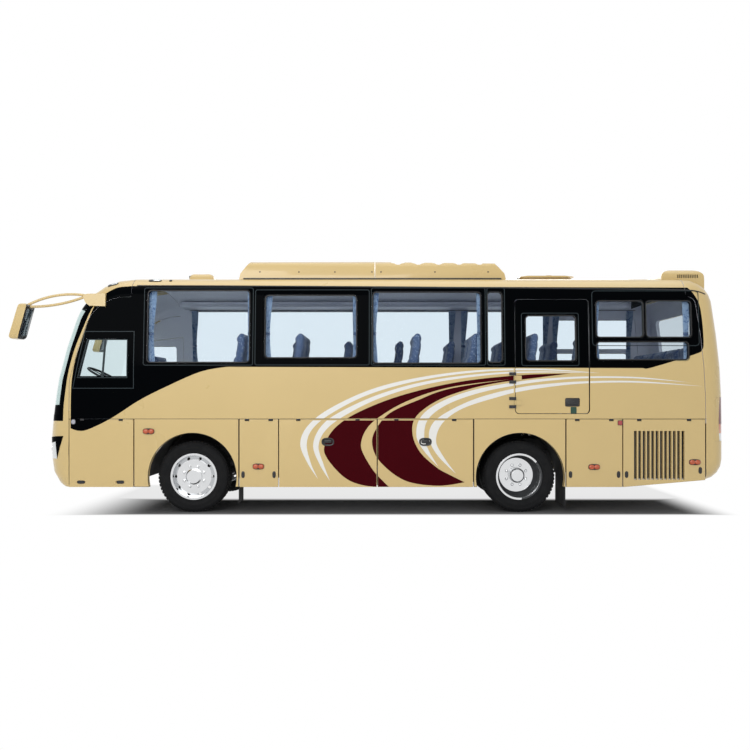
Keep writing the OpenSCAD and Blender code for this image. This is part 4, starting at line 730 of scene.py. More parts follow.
for low, high in islands("window_glass"):
    if low.y > 0 and high.z - low.z > least_h:
        bead(work, low.x - margin, high.x + margin, low.z - margin, high.z + margin, margin, frame_profile,
             wall_place(1))


def spread(outline, growth):
    """Outline with extra points, its corners moved away from its middle."""
    middle = Vector((sum(c[0] for c in outline) / len(outline), sum(c[1] for c in outline) / len(outline)))
    return dense([tuple(Vector(c) + (Vector(c) - middle).normalized() * growth) for c in outline])


# Driver's window in pixels: the frame's outer corners, the glass corners and the ends of the sliding bar
driver_frame = [on_side(*q) for q in [(134.0, 388.6), (134.0, 331.0), (84.2, 331.0), (72.6, 388.6)]]
driver_glass = [on_side(*q) for q in [(126.6, 377.3), (126.6, 340.0), (87.6, 340.0), (78.4, 377.3)]]
slide_bar = [on_side(*q) for q in [(105.0, 340.2), (102.6, 377.2)]]
corner_growth, bead_w, half_bar = 1.4, 0.016, 0.013
outer, inner = spread(driver_frame, 0), spread(driver_frame, -frame_w * corner_growth)
hoop(work, [(outer, -0.001), (outer, 0.0015), (inner, 0.0015), (inner, -0.001)], wall_place(-1))
outer, inner = spread(driver_glass, bead_w), dense(driver_glass)
hoop(work, [(outer, -0.001), (outer, 0.003), (inner, 0.003), (inner, -0.0045)], wall_place(-1))
(bar_x, bar_z), (foot_x, foot_z) = slide_bar
drop, lean = foot_z - bar_z, foot_x - bar_x
stacked(work, [(-half_bar, 0), (lean - half_bar, drop), (lean + half_bar, drop), (half_bar, 0)],
        [(0, -0.006), (0, 0.0025)], lambda u, v, h: wall_place(-1)(bar_x + u, bar_z + v, h))
for body, work in frame_works.items():
    closed_piece("satin_frames." + body, work, satin_frame, body)

# Drip rails: a black rubber gutter strip along each roof edge, pushed on the seam and bent round the rear
# corner. It follows the line in the side view, on the skin that is under it.


def surface(*nodes):
    """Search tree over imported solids, to set pieces on their faces."""
    spots, faces = [], []
    for node in nodes:
        mesh = frame["nodes"][node].data
        faces += [[i + len(spots) for i in f.vertices] for f in mesh.polygons]
        spots += [v.co.copy() for v in mesh.vertices]
    return BVHTree.FromPolygons(spots, faces)


rail_line = drawn([(134.8, 284.8), (250.0, 285.2), (400.0, 286.2), (550.0, 287.6), (650.0, 288.8),
                   (688.0, 289.6), (700.0, 291.0), (708.0, 293.4)], 71)
section = [(-0.007, -0.003), (-0.007, 0.004), (-0.002, 0.006), (0.004, 0.006), (0.008, 0.003),
           (0.008, -0.003)]
ray_start = 3
for out, side in sides:
    skin = surface("side_wall_" + side, "roof", "front_cap", "rear_cap")
    work = bmesh.new()
    rings = []
    for x, z in rail_line:
        spot, normal = skin.ray_cast(Vector((x, ray_start * out, z)), Vector((0, -out, 0)))[:2]
        rings.append([work.verts.new(spot + Vector((0, 0, dz)) + normal * lift) for dz, lift in section])
    bridged(work, rings)
    closed_piece("drip_rail_" + side, work, seal_rubber, "coach")

# Lamps: moulded units let into the end caps. Each headlamp has a black hood over a ribbed clear lens with
# three ringed bowls, and each tail lamp is a ribbed red lens with an amber and a clear field.


def prisms(made, pitch, depth):
    """Adds the fine moulded ribs of a lamp lens to a finish, both ways."""
    tree, shader, place = parts_of(made)
    under = shader.inputs["Normal"].links[0].from_socket
    for way in ("Y", "Z"):
        ribs = add(tree, "ShaderNodeTexWave", {"Vector": place, "Scale": 0.314 / pitch}, bands_direction=way)
        under = add(tree, "ShaderNodeBump", {"Height": ribs.outputs["Fac"], "Strength": 0.6,
                                             "Distance": depth, "Normal": under}).outputs[0]
    tree.links.new(under, shader.inputs["Normal"])
    return made


lamp_clear = prisms(finish("lamp_clear", (0.62, 0.64, 0.64), 0.08, metal=0.35, coat=1.0), 0.02, 0.002)
lamp_red = prisms(finish("lamp_red", (0.14, 0.004, 0.010), 0.2, coat=0.3), 0.012, 0.0015)
lamp_amber = prisms(finish("lamp_amber", (0.5, 0.10, 0.01), 0.1, coat=1.0), 0.012, 0.0015)
chrome = finish("lamp_chrome", (0.72, 0.73, 0.75), 0.08, metal=1.0, grain=(300, 0.005), mottle=(8, 0.05))
low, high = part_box("headlamps")
hood_z = high.z - 0.075
clear_of = 0.1
hood = [(low.x - clear_of, hood_z - 0.06), (low.x + 0.17, hood_z), (low.x + 0.20, low.z - clear_of),
        (high.x + clear_of, low.z - clear_of), (high.x + clear_of, high.z + clear_of),
        (low.x - clear_of, high.z + clear_of)]
panel("headlamps", [lamp_clear, band_paint], outline=hood, pick=lambda c, n: int(within(c, hood)))
low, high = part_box("tail_lamps")
fields = [low.z + 0.10, low.z + 0.22]
lens_low, lens_high, lens_rear = low.z - 0.02, high.z + 0.02, high.x + clear_of
lens_front = [(high.x - 0.080, lens_high), (high.x - 0.098, high.z - 0.12), (high.x - 0.108, high.z - 0.30),
              (high.x - 0.102, fields[0]), (high.x - 0.084, lens_low)]
lens_rim = lens_front + [(lens_rear, lens_low), (lens_rear, lens_high)]
lens = lens_front + [(lens_rear, lens_low), (lens_rear, fields[0]), (high.x - 0.102, fields[0]),
                     (high.x - 0.104, fields[1]), (lens_rear, fields[1]), (lens_rear, lens_high)]
panel("tail_lamps", [lamp_red, lamp_amber, lamp_clear, cream_paint], outline=lens,
      pick=lambda c, n: 3 if not within(c, lens_rim)
      else 0 if c.z > fields[1] else 1 if c.z > fields[0] else 2)


def set_on(spot, normal):
    """Placing function on a face: u along the body or across it, v up the face, h outward."""
    end_face = abs(normal.x) > end_on
    along = normal.cross(Vector((0, 0, 1))) if end_face else Vector((1, 0, 0)) - normal * normal.x
    along.normalize()
    up = along.cross(normal)
    up *= 1 if up.z > 0 else -1
    return lambda u, v, h: spot + along * u + up * v + normal * h


def both_sides(spot, normal):
    """Placing functions at a spot of the left side and at its mirror image."""
    return [set_on(Vector((spot.x, y * spot.y, spot.z)), Vector((normal.x, y * normal.y, normal.z)))
            for y in (1, -1)]


# Bowls of a headlamp: place across from the middle, height and radius
bowls = [(0.80, 0.80, 0.052), (0.925, 0.82, 0.062), (1.05, 0.84, 0.045)]
ahead_x, ring_w = -6, 0.012
lamp_face = surface("headlamps")
ring_work, dome_work = bmesh.new(), bmesh.new()
for y, z, radius in bowls:
    for out in (-1, 1):
        put = set_on(*lamp_face.ray_cast(Vector((ahead_x, out * y, z)), Vector((1, 0, 0)))[:2])
        stacked(ring_work, oval(2 * radius, 2 * radius, 2, 36),
                [(0, -0.003), (0.001, 0.004), (0.006, 0.005), (0.011, 0.0005)], put)
        stacked(dome_work, oval(2 * (radius - ring_w), 2 * (radius - ring_w), 2, 36),
                [(0, 0.0002), (0.004, 0.006), (radius * 0.4, 0.011), (radius * 0.75, 0.0125)], put)
closed_piece("lamp_rings", ring_work, chrome, "coach")
closed_piece("lamp_domes", dome_work, lamp_clear, "coach")

# Mirrors and wipers: cream shells on bent tube arms, with a black back and a silvered glass that faces
# the driver; black wiper arms with rubber blades, on spindles in the front panel.
mirror_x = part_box("mirrors")[0].x
head_rear, head_top, head_y = mirror_x + 0.24, 2.7, 1.33
panel("mirrors", [cream_paint, black_plastic], edge=0.006,
      pick=lambda c, n: int(n.x > 0.6 and c.x < head_rear and c.z < head_top))
panel("wipers", [seal_rubber], edge=0.002)
silvered = finish("silvered_glass", (0.16, 0.17, 0.18), 0.03, metal=1.0, grain=(300, 0.001), mottle=(3, 0.03))
face_low, face_high = Vector((mirror_x + 0.116, 0, 2.268)), Vector((mirror_x + 0.222, 0, 2.655))
up = (face_high - face_low).normalized()
back = Vector((up.z, 0, -up.x))
for out, side in sides:
    middle = (face_low + face_high) / 2 + Vector((0, out * head_y, 0))
    put = lambda u, v, h: middle + Vector((0, u, 0)) + up * v + back * h
    for name, size, levels, material in [
            ("mirror_rim", (0.196, 0.372), [(0, -0.002), (0.001, 0.006), (0.004, 0.008)], black_plastic),
            ("mirror_glass", (0.178, 0.354), [(0, 0.007), (0.001, 0.0095), (0.004, 0.0105)], silvered)]:
        work = bmesh.new()
        stacked(work, oval(*size, 7, 48), levels, put)
        closed_piece(f"{name}_{side}", work, material, "coach")

# Roof fittings: clearance lamps along the front of the roof, a low air scoop, and the screws and rubber
# gasket of the cooling unit. Lamps and screws are set on the skin where the side view has them.


def seen(tree, px, py):
    """Place and normal on a face behind a pixel of the side view."""
    middle_pixel = (385.0, 398.0)
    along, up = (px - middle_pixel[0]) * metres_per_pixel, (middle_pixel[1] - py) * metres_per_pixel
    return tree.ray_cast(eye, Vector((along, side_y - eye.y, up)).normalized())[:2]


roof_face, cap_face, unit_face = surface("roof"), surface("front_cap"), surface("roof_air_unit")
marker_base, marker_lens, screw_work = bmesh.new(), bmesh.new(), bmesh.new()
lens_shift, least_lit = 0.025, 0.1
for tree, px, py, size in [(cap_face, 113.5, 285.0, (0.15, 0.05)), (roof_face, 155.5, 281.0, (0.17, 0.05)),
                           (roof_face, 171.0, 281.0, (0.036, 0.036))]:
    for put in both_sides(*seen(tree, px, py)):
        stacked(marker_base, oval(*size, 4), [(0, -0.004), (0.001, 0.008), (0.004, 0.010)], put)
        if size[0] > least_lit:
            stacked(marker_lens, oval(size[0] * 0.62, size[1] * 0.72, 3),
                    [(0, 0.008), (0.003, 0.017), (0.010, 0.021)], lambda u, v, h: put(u + lens_shift, v, h))
screw_py = 272.0
for px in (260, 299, 335, 372, 381, 435, 488):
    for put in both_sides(*seen(unit_face, px, screw_py)):
        stacked(screw_work, oval(0.02, 0.02, 2, 16), [(0, -0.001), (0.001, 0.003), (0.004, 0.005)], put)
closed_piece("marker_bases", marker_base, black_plastic, "coach")
closed_piece("marker_lenses", marker_lens, lamp_clear, "coach")
closed_piece("unit_screws", screw_work, chassis_black, "coach")


def roof_level(x, y):
    """Height of the roof's skin at a place."""
    above = 5
    return roof_face.ray_cast(Vector((x, y, above)), Vector((0, 0, -1)))[0].z


low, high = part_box("roof_air_unit")
work = bmesh.new()
gasket_w, gasket_out, gasket_short = 0.018, 0.006, 0.12
for out in (-1, 1):
    y = out * (high.y + gasket_out)
    z = roof_level(0, y)
    stacked(work, oval(high.x - low.x - gasket_short, gasket_w, 16, 40),
            [(0, z - 0.012), (0, z + 0.016), (0.004, z + 0.019)],
            lambda u, v, h: ((low.x + high.x) / 2 + u, y + v, h))
closed_piece("unit_gasket", work, seal_rubber, "coach")
scoop_x, scoop_y = -2.384, -0.55
scoop_z = roof_level(scoop_x, scoop_y)
for name, size, levels, shift, material in [
        ("roof_scoop", (0.35, 0.30),
         [(0, -0.03), (0.004, 0.018), (0.03, 0.050), (0.055, 0.060), (0.10, 0.064)], 0, cream_paint),
        ("roof_scoop_mouth", (0.05, 0.22),
         [(0, 0.004), (0.002, 0.030), (0.012, 0.040)], -0.15, black_plastic)]:
    work = bmesh.new()
    stacked(work, oval(*size, 5), levels, lambda u, v, h: (scoop_x + shift + u, scoop_y + v, scoop_z + h))
    closed_piece(name, work, material, "coach")

# Wheels and tyres: pressed steel rims, polished at the front and bright only at hub and flange at the
# rear, held by eight nuts each. The tyres have a moulded block tread round a ribbed carcass.
polished = finish("polished_steel", (0.70, 0.71, 0.72), 0.13, metal=1.0, grain=(500, 0.008), mottle=(9, 0.05))
dark_steel = finish("dark_steel", (0.05, 0.052, 0.055), 0.42, metal=0.7, grain=(260, 0.03), mottle=(9, 0.3))
tyre_rubber = finish("tyre_rubber", (0.006, 0.0062, 0.0068), 0.8, grain=(260, 0.06), mottle=(12, 0.25),
                     specular=0.2)


def ring_of_copies():
    """Geometry Nodes tree that stands copies of a small mesh in a ring round the Z axis."""
    tree = bpy.data.node_groups.new("ring_of_copies", "GeometryNodeTree")
    face = tree.interface
    face.new_socket("Item", in_out="INPUT", socket_type="NodeSocketGeometry")
    names = {}
    for name, kind in [("Count", "NodeSocketInt"), ("Radius", "NodeSocketFloat"),
                       ("Start", "NodeSocketFloat"), ("Finish", "NodeSocketMaterial")]:
        names[name] = face.new_socket(name, in_out="INPUT", socket_type=kind).identifier
    face.new_socket("Ring", in_out="OUTPUT", socket_type="NodeSocketGeometry")
    given = add(tree, "NodeGroupInput")
    circle = add(tree, "GeometryNodeMeshCircle", {"Vertices": given.outputs["Count"],
                                                  "Radius": given.outputs["Radius"]})
    start = add(tree, "ShaderNodeCombineXYZ", {"Z": given.outputs["Start"]})
    turned = add(tree, "GeometryNodeTransform", {"Geometry": circle.outputs["Mesh"],
                                                 "Rotation": start.outputs[0]})
    spot = add(tree, "ShaderNodeSeparateXYZ", {0: add(tree, "GeometryNodeInputPosition").outputs[0]})
    angle = maths(tree, "ARCTAN2", spot.outputs["Y"], spot.outputs["X"])
    facing = add(tree, "ShaderNodeCombineXYZ", {"Z": angle})
    turn = add(tree, "FunctionNodeEulerToRotation", {0: facing.outputs[0]})
    copies = add(tree, "GeometryNodeInstanceOnPoints", {"Points": turned.outputs[0],
                                                        "Instance": given.outputs["Item"],
                                                        "Rotation": turn.outputs[0]})
    real = add(tree, "GeometryNodeRealizeInstances", {0: copies.outputs[0]})
    dressed = add(tree, "GeometryNodeSetMaterial", {"Geometry": real.outputs[0],
                                                    "Material": given.outputs["Finish"]})
    add(tree, "NodeGroupOutput", {0: dressed.outputs[0]})
    return tree, names


ring_tree, ring_inputs = ring_of_copies()


def ring(item, count, radius, start, material):
    """Mesh of copies of item, whose X axis points outward, in a ring."""
    made = bpy.data.objects.new("ring", item)
    bpy.context.scene.collection.objects.link(made)
    copies = made.modifiers.new("ring", "NODES")
    copies.node_group = ring_tree
    for name, value in [("Count", count), ("Radius", radius), ("Start", start), ("Finish", material)]:
        copies[ring_inputs[name]] = value
    plain_mesh(made)
    mesh = made.data
    bpy.data.objects.remove(made)
    return mesh


def mesh_of(name, work):
    """Mesh of a finished bmesh, normals outward."""
    bmesh.ops.recalc_face_normals(work, faces=work.faces)
    mesh = bpy.data.meshes.new(name)
    work.to_mesh(mesh)
    work.free()
    return mesh


def small_mesh(name, build):
    """Mesh made by a function that fills a bmesh."""
    work = bmesh.new()
    build(work)
    return mesh_of(name, work)


def block(low, high, taper):
    """Function that builds a block whose outer end, along X, is smaller by taper all round."""
    def build(work):
        stacked(work, [(low[1], low[2]), (high[1], low[2]), (high[1], high[2]), (low[1], high[2])],
                [(0, low[0]), (0, high[0] - taper), (taper, high[0])], lambda u, v, h: (h, u, v))
    return build


def turned(work, profile, steps):
    """Closed ring turned from a profile of (radius, height) round the Z axis."""
    rings = []
    for k in range(steps):
        a = 2 * math.pi * k / steps
        rings.append([work.verts.new((r * math.cos(a), r * math.sin(a), z)) for r, z in profile])
    bridged(work, rings, ends=False)


def joined(placed):
    """Bmesh of copies of meshes, each given with the matrix of its place."""
    work = bmesh.new()
    for mesh, place in placed:
        part = mesh.copy()
        part.transform(place)
        work.from_mesh(part)
        bpy.data.meshes.remove(part)
    return work


low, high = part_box("tyre_front_left")
tyre_r = (high.z - low.z) / 2
tyre_w = high.y - low.y
tread_depth = 0.012
crown_r = tyre_r - tread_depth
half = [(0.2865, 0.093), (0.3036, 0.0975), (0.306, 0.106), (0.314, 0.1145), (0.318, 0.1185), (0.324, 0.1185),
        (0.328, 0.1165), (0.345, 0.1225), (0.366, 0.1266), (0.369, 0.1274), (0.374, 0.1274), (0.377, 0.1266),
        (0.398, 0.1262), (0.416, 0.1232), (0.419, 0.1238), (0.423, 0.1222), (0.437, 0.117), (0.448, 0.109),
        (crown_r, 0.100), (crown_r, 0.06)]
outline = half + [(r, -z) for r, z in half[::-1]]
carcass = small_mesh("carcass", lambda work: turned(work, outline, 96))
carcass.materials.append(tyre_rubber)
for face in carcass.polygons:
    face.use_smooth = True
tread_pitch = 58
pitch_len = 2 * math.pi * tyre_r / tread_pitch
# Tread rows: axial centre, width, share of the pitch filled, offset in pitches
rows = [(-0.0835, 0.036, 0.72, 0.0), (-0.0435, 0.032, 0.86, 0.5), (0.0, 0.034, 0.9, 0.2),
        (0.0435, 0.032, 0.86, 0.7), (0.0835, 0.036, 0.72, 0.35)]
tread = []
for centre, width, share, offset in rows:
    length = pitch_len * share
    lug = small_mesh("lug", block((-0.002, -length / 2, centre - width / 2),
                                  (tread_depth - 0.0004, length / 2, centre + width / 2), 0.002))
    tread.append(ring(lug, tread_pitch, crown_r, 2 * math.pi * offset / tread_pitch, tyre_rubber))
low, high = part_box("tyres_rear_left")
twin_gap = high.y - low.y - tyre_w


def wheel_place(node, out):
    """Matrix from a wheel's own frame, Z outward, to its place on the axle; out is -1 on the left."""
    low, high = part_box(node)
    outer_y = low.y if out < 0 else high.y
    middle = Vector(((low.x + high.x) / 2, outer_y - out * tyre_w / 2, (low.z + high.z) / 2))
    return Matrix.Translation(middle) @ Matrix.Rotation(-out * math.radians(90), 4, "X")


def nut(work):
    """Flanged wheel nut with a rounded end, standing along Z."""
    stacked(work, oval(0.046, 0.046, 2, 18), [(0, -0.002), (0.001, 0.004), (0.004, 0.006)],
            lambda u, v, h: (u, v, h))
    stacked(work, oval(0.036, 0.036, 2, 6), [(0, 0.004), (0, 0.024), (0.003, 0.028), (0.009, 0.030)],
            lambda u, v, h: (u, v, h))


nut_mesh = small_mesh("nut", nut)
bolt_circle = 0.1375
disc_r, flange_r = 0.17, 0.276
nut_count = 8
nuts = ring(nut_mesh, nut_count, bolt_circle, math.pi / nut_count, polished)
# Wheels: tyre node, wheel node, body, side, nut level and inner tyre
corners = [("tyre_front_left", "wheel_front_left", "wheel_fl", -1, 0.094, False),
           ("tyre_front_right", "wheel_front_right", "wheel_fr", 1, 0.094, False),
           ("tyres_rear_left", "wheel_rear_left", "wheel_rl", -1, 0.012 - twin_gap / 2, True),
           ("tyres_rear_right", "wheel_rear_right", "wheel_rr", 1, 0.012 - twin_gap / 2, True)]
for tyre_node, wheel_node, body, out, nut_level, twin in corners:
    place = wheel_place(tyre_node, out)
    inner = [place @ Matrix.Translation((0, 0, -twin_gap))] if twin else []
    treaded = joined([(mesh, spot) for spot in [place] + inner for mesh in [carcass] + tread])
    tyre = piece(tyre_node + ".treaded", treaded, tyre_rubber, body)
    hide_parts(tyre_node)
    hub = place.translation
    panel(wheel_node, [polished, dark_steel], edge=0.002,
          pick=lambda c, n: int(twin and disc_r < math.hypot(c.x - hub.x, c.z - hub.z) < flange_r))
    nuts_at = place @ Matrix.Translation((0, 0, nut_level))
    piece(wheel_node + ".nuts", joined([(nuts, nuts_at)]), polished, body)

# Cabin lining: vinyl floor, grey moulded racks, the dashboard with a steering wheel covered in leather,
# and the arms of the front door. Only the upper parts show through the glass.
floor_vinyl = finish("floor_vinyl", (0.16, 0.165, 0.175), 0.6, grain=(300, 0.05))
panel("floor_deck", [floor_vinyl])
dash_plastic = finish("dash_plastic", (0.07, 0.072, 0.08), 0.6, grain=(350, 0.05))
for node in ["dashboard", "front_door_arm"]:
    panel(node, [dash_plastic], edge=0.008)
wheel_leather = finish("wheel_leather", (0.018, 0.018, 0.02), 0.5, grain=(420, 0.09), mottle=(30, 0.2))
panel("steering_wheel", [wheel_leather], edge=0.005)
panel("luggage_racks", [lining], edge=0.008)

# Seats: foam cushions and high backs with a rolled headrest, in blue figured cloth with sewn channels,
# on a steel beam and legs bolted to the floor. The foam is swollen by a cloth simulation.
seat_blue = (0.11, 0.15, 0.26)
seat_pale = (0.46, 0.53, 0.64)


def weave(tree, shader, share, colour, sheen):
    """Works a second colour into a finish where share is full, with the sheen of cloth."""
    shader.inputs["Sheen Weight"].default_value = sheen
    base = shader.inputs["Base Color"].links[0].from_socket
    tone = add(tree, "ShaderNodeMix", {0: share, 6: base, 7: (*colour, 1)}, data_type="RGBA")
    tree.links.new(tone.outputs[2], shader.inputs["Base Color"])


def figured_cloth(name):
    """Woven seat cloth: dark and pale flecks in soft waves, with a fine weave in relief."""
    made = finish(name, seat_blue, 0.92, grain=(1100, 0.12), mottle=(14, 0.25), specular=0.2)
    tree, shader, place = parts_of(made)
    waves = add(tree, "ShaderNodeTexWave", {"Vector": place, "Scale": 7.0, "Distortion": 9.0, "Detail": 2.0,
                                            "Detail Scale": 1.4}, bands_direction="DIAGONAL")
    flecks = add(tree, "ShaderNodeTexVoronoi", {"Vector": place, "Scale": 85.0})
    near = ranged(tree, flecks.outputs["Distance"], 0.28, 0.36, 1.0, 0.0)
    crest = ranged(tree, waves.outputs["Fac"], 0.52, 0.68)
    weave(tree, shader, maths(tree, "MULTIPLY", near, crest), seat_pale, 0.3)
    return made


seat_cloth = figured_cloth("figured_blue_cloth")
seat_steel = finish("seat_steel", (0.10, 0.10, 0.11), 0.45, metal=0.5, grain=(300, 0.03))
seat_w = 0.434
pad_inset = 0.010
swell_cap = 0.016
pad_voxel = 0.022
# Side outlines of one seat in metres, from its origin on the floor under the foot of the back
cushion_side = [(-0.450, 0.412), (-0.464, 0.480), (-0.452, 0.512), (-0.415, 0.524), (-0.300, 0.512),
                (-0.180, 0.505), (-0.112, 0.500), (-0.104, 0.412)]
back_side = [(-0.078, 0.420), (-0.082, 0.500), (-0.066, 0.570), (-0.042, 0.660), (-0.012, 0.760),
             (0.010, 0.850), (0.030, 0.930), (0.036, 0.975), (0.026, 1.020), (0.028, 1.075), (0.060, 1.120),
             (0.105, 1.126), (0.130, 1.085), (0.126, 1.010), (0.124, 0.930), (0.112, 0.800), (0.090, 0.650),
             (0.050, 0.420)]
# Sewn channels: across the seat at a height or depth, then up it at a share of the width
back_channels = [0.985, 0.80, 0.62]
cushion_channels = [-0.36, -0.22]
bolster_share = 0.30
channel_depth, channel_w = 0.010, 0.016
bolster_dent, end_lean = 0.7, 0.6
foam_push, foam_steps = 4.0, 20


def pad(name, side, channels, axis):
    """One foam pad across a seat: its outline extruded, remeshed, swollen and sewn into channels."""
    work = bmesh.new()
    middle = Vector((sum(p[0] for p in side) / len(side), sum(p[1] for p in side) / len(side)))
    edges = []
    for y in (pad_inset, seat_w - pad_inset):
        loop = []
        for x, z in side:
            away = Vector((x, z)) - middle
            spot = middle + away * max(0.0, 1 - pad_inset / away.length)
            loop.append(work.verts.new((spot.x, y, spot.y)))
        edges.append(loop)
    bridged(work, edges)
    made = bpy.data.objects.new(name, mesh_of(name, work))
    bpy.context.scene.collection.objects.link(made)
    even = made.modifiers.new("even_mesh", "REMESH")
    even.mode = "VOXEL"
    even.voxel_size = pad_voxel
    plain_mesh(made)
    rest = [v.co.copy() for v in made.data.vertices]
    foam = made.modifiers.new("foam", "CLOTH")
    foam.settings.use_pressure = True
    foam.settings.uniform_pressure_force = foam_push
    foam.settings.effector_weights.gravity = 0.0
    foam.point_cache.frame_end = foam_steps
    for step in range(1, foam_steps + 1):
        bpy.context.scene.frame_set(step)
    plain_mesh(made)
    bpy.context.scene.frame_set(1)
    for v, before in zip(made.data.vertices, rest):
        move = v.co - before
        if move.length > swell_cap:
            v.co = before + move.normalized() * swell_cap
    inward = [-v.normal.copy() for v in made.data.vertices]
    for v, way in zip(made.data.vertices, inward):
        dent = sum(math.exp(-((v.co[axis] - line) / channel_w) ** 2) for line in channels)
        for line in (bolster_share, 1 - bolster_share):
            dent += bolster_dent * math.exp(-((v.co.y - line * seat_w) / channel_w) ** 2)
        if abs(way.y) < end_lean:
            v.co += way * channel_depth * min(1.0, dent)
    for face in made.data.polygons:
        face.use_smooth = True
    mesh = made.data
    bpy.data.objects.remove(made)
    return mesh


pads = [pad("seat_cushion", cushion_side, cushion_channels, 0), pad("seat_back", back_side, back_channels, 2)]


def seated(name, places, body):
    """Padded piece of several seats, each given by a matrix."""
    made = piece(name, joined([(mesh, place) for place in places for mesh in pads]), seat_cloth, body)
    return made


def bar(work, low, high, chamfer=0.004):
    """Straight bar between two corners with broken long edges."""
    (x0, y0, z0), (x1, y1, z1) = low, high
    u, v = (x1 - x0) / 2, (y1 - y0) / 2
    outline = [(-u + chamfer, -v), (u - chamfer, -v), (u, -v + chamfer), (u, v - chamfer), (u - chamfer, v),
               (-u + chamfer, v), (-u, v - chamfer), (-u, -v + chamfer)]
    stacked(work, outline, [(chamfer, z0), (0, z0 + chamfer), (0, z1 - chamfer), (chamfer, z1)],
            lambda a, b, h: (x0 + u + a, y0 + v + b, h))


seat_solids = islands("passenger_seats")
pair_w, single_w, single_foot, single_top = 0.8, 0.6, 0.3, 0.4
pairs = sorted((low, high) for low, high in seat_solids if high.y - low.y > pair_w)
cabin_floor = pairs[0][0].z
singles = [(low, high) for low, high in seat_solids if low.z < cabin_floor + single_foot
           and high.z < cabin_floor + single_top and high.y - low.y < single_w]
seat_nose, frame_nose, seat_level, pair_gap = 0.472, 0.400, 0.405, 0.012
# Bars of a seat pair from its foot and the floor: the front and rear of each beam, and for each leg the
# front, rear, left, right, lower and upper limits of its foot, two posts and head
beams, beam_low, beam_high, beam_inset = [(-0.40, -0.345), (-0.07, -0.015)], 0.365, 0.405, 0.01
leg = [(-0.33, -0.06, 0, 0.035, 0, 0.012), (-0.30, -0.25, 0.005, 0.03, 0, 0.37),
       (-0.14, -0.09, 0.005, 0.03, 0, 0.37), (-0.39, -0.02, 0.005, 0.03, 0.345, 0.37)]
leg_left, leg_right = 0.055, 0.085
rows = {"left": [], "right": [], "rear": []}
frames_work = bmesh.new()
for low, high in pairs:
    foot = low.x + frame_nose
    for k in (0, 1):
        rows["left" if low.y < 0 else "right"].append(
            Matrix.Translation((foot, low.y + k * (seat_w + pair_gap), cabin_floor)))
    bars = [(*beam, low.y + beam_inset, high.y - beam_inset, beam_low, beam_high) for beam in beams]
    for y in (low.y + leg_left, high.y - leg_right):
        bars += [(front, rear, y + left, y + right, *heights) for front, rear, left, right, *heights in leg]
    for front, rear, left, right, lower, upper in bars:
        bar(frames_work, (foot + front, left, cabin_floor + lower), (foot + rear, right, cabin_floor + upper))
for low, high in singles:
    rows["rear"].append(Matrix.Translation((low.x + seat_nose, low.y, low.z - seat_level)))
seat_frames = closed_piece("seat_frames", frames_work, seat_steel, "coach")
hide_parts("passenger_seats")
for side, places in rows.items():
    seated("seats_" + side, places, "coach")
low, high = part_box("driver_seat")
driver_scale = Vector((1.05, (high.y - low.y) / seat_w, 0.95))
driver_foot = Vector((low.x + seat_nose * driver_scale.x, low.y, low.z))
driver = seated("driver_seat_pads", [Matrix.LocRotScale(driver_foot, None, driver_scale)], "coach")
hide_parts("driver_seat")
# Plinth of the driver's seat: level, height and growth of each layer
work = bmesh.new()
plinth_front, plinth_rear, plinth_inset, plinth_chamfer = 0.36, 0.10, 0.10, 0.02
for level, tall, grow in [(0.0, 0.13, 0.0), (0.13, 0.07, -0.02), (0.20, 0.07, -0.035), (0.27, 0.07, -0.02)]:
    inset = plinth_inset - grow
    bar(work, (driver_foot.x - plinth_front - grow, low.y + inset, low.z + level),
        (driver_foot.x - plinth_rear + grow, high.y - inset, low.z + level + tall), plinth_chamfer)
closed_piece("driver_seat_base", work, seat_steel, "coach")

# Curtains: pleated blue figured cloth, hung from a rail over the windows and tied in at mid height. Each
# keeps its whole flat width in its pleats, so it is deep where it is drawn narrow.
curtain_pale, curtain_dark = (0.55, 0.66, 0.80), (0.16, 0.27, 0.50)
curtain_flat = 0.34
pleats = 6
pleat_steps = 8
curtain_levels = 36
tie_z = 2.33
tie_w, foot_w, tie_half = 0.066, 0.094, 0.018
hang_in = 0.0755
front_share = 0.2


def hang_y(out, z):
    """Place across the body of the curtains at a height, inside a leaning wall."""
    return out * (-side_y - hang_in - max(0, z - waist_z) * math.tan(wall_lean))


def curtain_cloth_of(name):
    """Light curtain cloth, pale blue with a darker wavy figure."""
    made = finish(name, curtain_pale, 0.9, grain=(900, 0.08), mottle=(25, 0.05))
    tree, shader, place = parts_of(made)
    figure = add(tree, "ShaderNodeTexNoise", {"Vector": place, "Scale": 24.0, "Detail": 3.0,
                                              "Distortion": 1.6})
    weave(tree, shader, ranged(tree, figure.outputs["Fac"], 0.52, 0.58), curtain_dark, 0.25)
    return made


curtain_cloth = curtain_cloth_of("curtain_cloth")


def pleat_line(width):
    """Points (u, depth) of a pleated line of the cloth's full flat width, drawn in to a width."""
    low, high = 0.0, 0.05
    trials = 40
    count = pleats * pleat_steps
    for trial in range(trials):
        deep = (low + high) / 2
        line = [(width * i / count, deep * math.sin(2 * math.pi * i / pleat_steps)) for i in range(count + 1)]
        length = sum(math.dist(a, b) for a, b in zip(line, line[1:]))
        low, high = (deep, high) if length < curtain_flat else (low, deep)
    return line


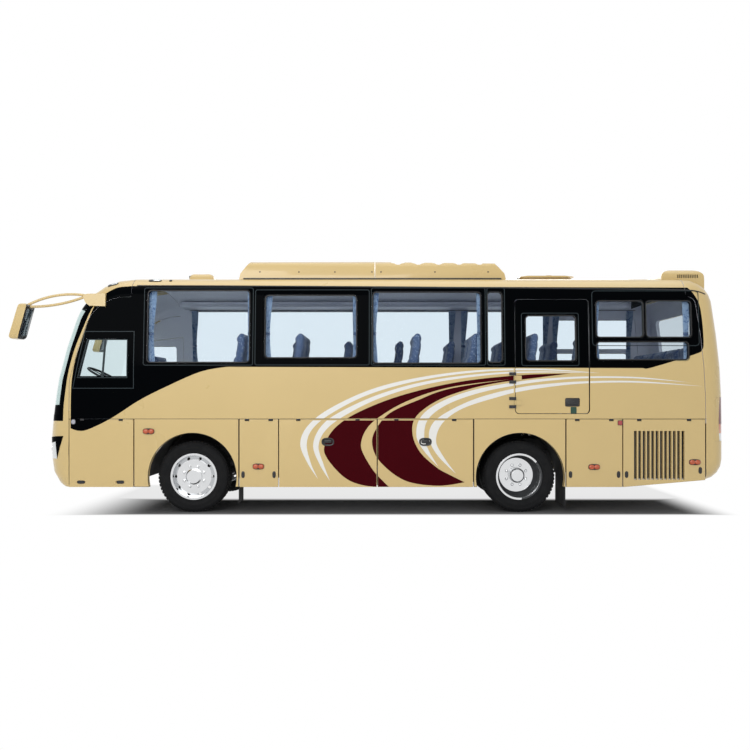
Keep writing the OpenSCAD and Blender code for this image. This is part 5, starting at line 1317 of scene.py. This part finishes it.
def drawn_width(z, top, foot, full):
    """Width of a curtain at a height: full at the rail, narrow at the tie, a little wider at the hem."""
    share = (top - z) / (top - tie_z) if z > tie_z else (tie_z - z) / (tie_z - foot)
    ease = share * share * (3 - 2 * share)
    return full + (tie_w - full) * ease if z > tie_z else tie_w + (foot_w - tie_w) * ease


ties = bmesh.new()
rails = {}
for number, (low, high) in enumerate(sorted(islands("curtains"))):
    out = -1 if low.y < 0 else 1
    top, foot, full = high.z, low.z, high.x - low.x
    work = bmesh.new()
    grid = []
    for k in range(curtain_levels + 1):
        z = top + (foot - top) * k / curtain_levels
        width = drawn_width(z, top, foot, full)
        front = low.x + (full - width) * front_share
        grid.append([work.verts.new((front + u, hang_y(out, z) + deep, z)) for u, deep in pleat_line(width)])
    for a, b in zip(grid, grid[1:]):
        for i in range(len(a) - 1):
            work.faces.new((a[i], a[i + 1], b[i + 1], b[i]) if out < 0 else (a[i + 1], a[i], b[i], b[i + 1]))
    for face in work.faces:
        face.smooth = True
    curtain = piece(f"curtain.{number}", work, curtain_cloth, "coach")
    if number == 0:
        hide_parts("curtains")
    tie_y = hang_y(out, tie_z)
    outer = oval(tie_w + 0.006, 0.040, 2, 18)
    inner = [(u * 0.93, v * 0.9) for u, v in outer]
    middle = low.x + (full - tie_w) * front_share + tie_w / 2
    hoop(ties, [(outer, -tie_half), (outer, tie_half), (inner, tie_half), (inner, -tie_half)],
         lambda u, v, h: (middle + u, tie_y + v, tie_z + h))
    span = rails.setdefault(out, [low.x, high.x])
    span[0], span[1] = min(span[0], low.x), max(span[1], high.x)
closed_piece("curtain_ties", ties, seat_cloth, "coach")
work = bmesh.new()
rail_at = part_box("curtains")[1].z
rail_lift, rail_over = 0.004, 0.03
for out, (front, rear) in rails.items():
    y = hang_y(out, rail_at)
    stacked(work, oval(0.022, 0.010, 4, 16), [(0, front - rail_over), (0, rear + rail_over)],
            lambda u, v, h: (h, y + u, rail_at + rail_lift + v))
closed_piece("curtain_rails", work, seat_steel, "coach")
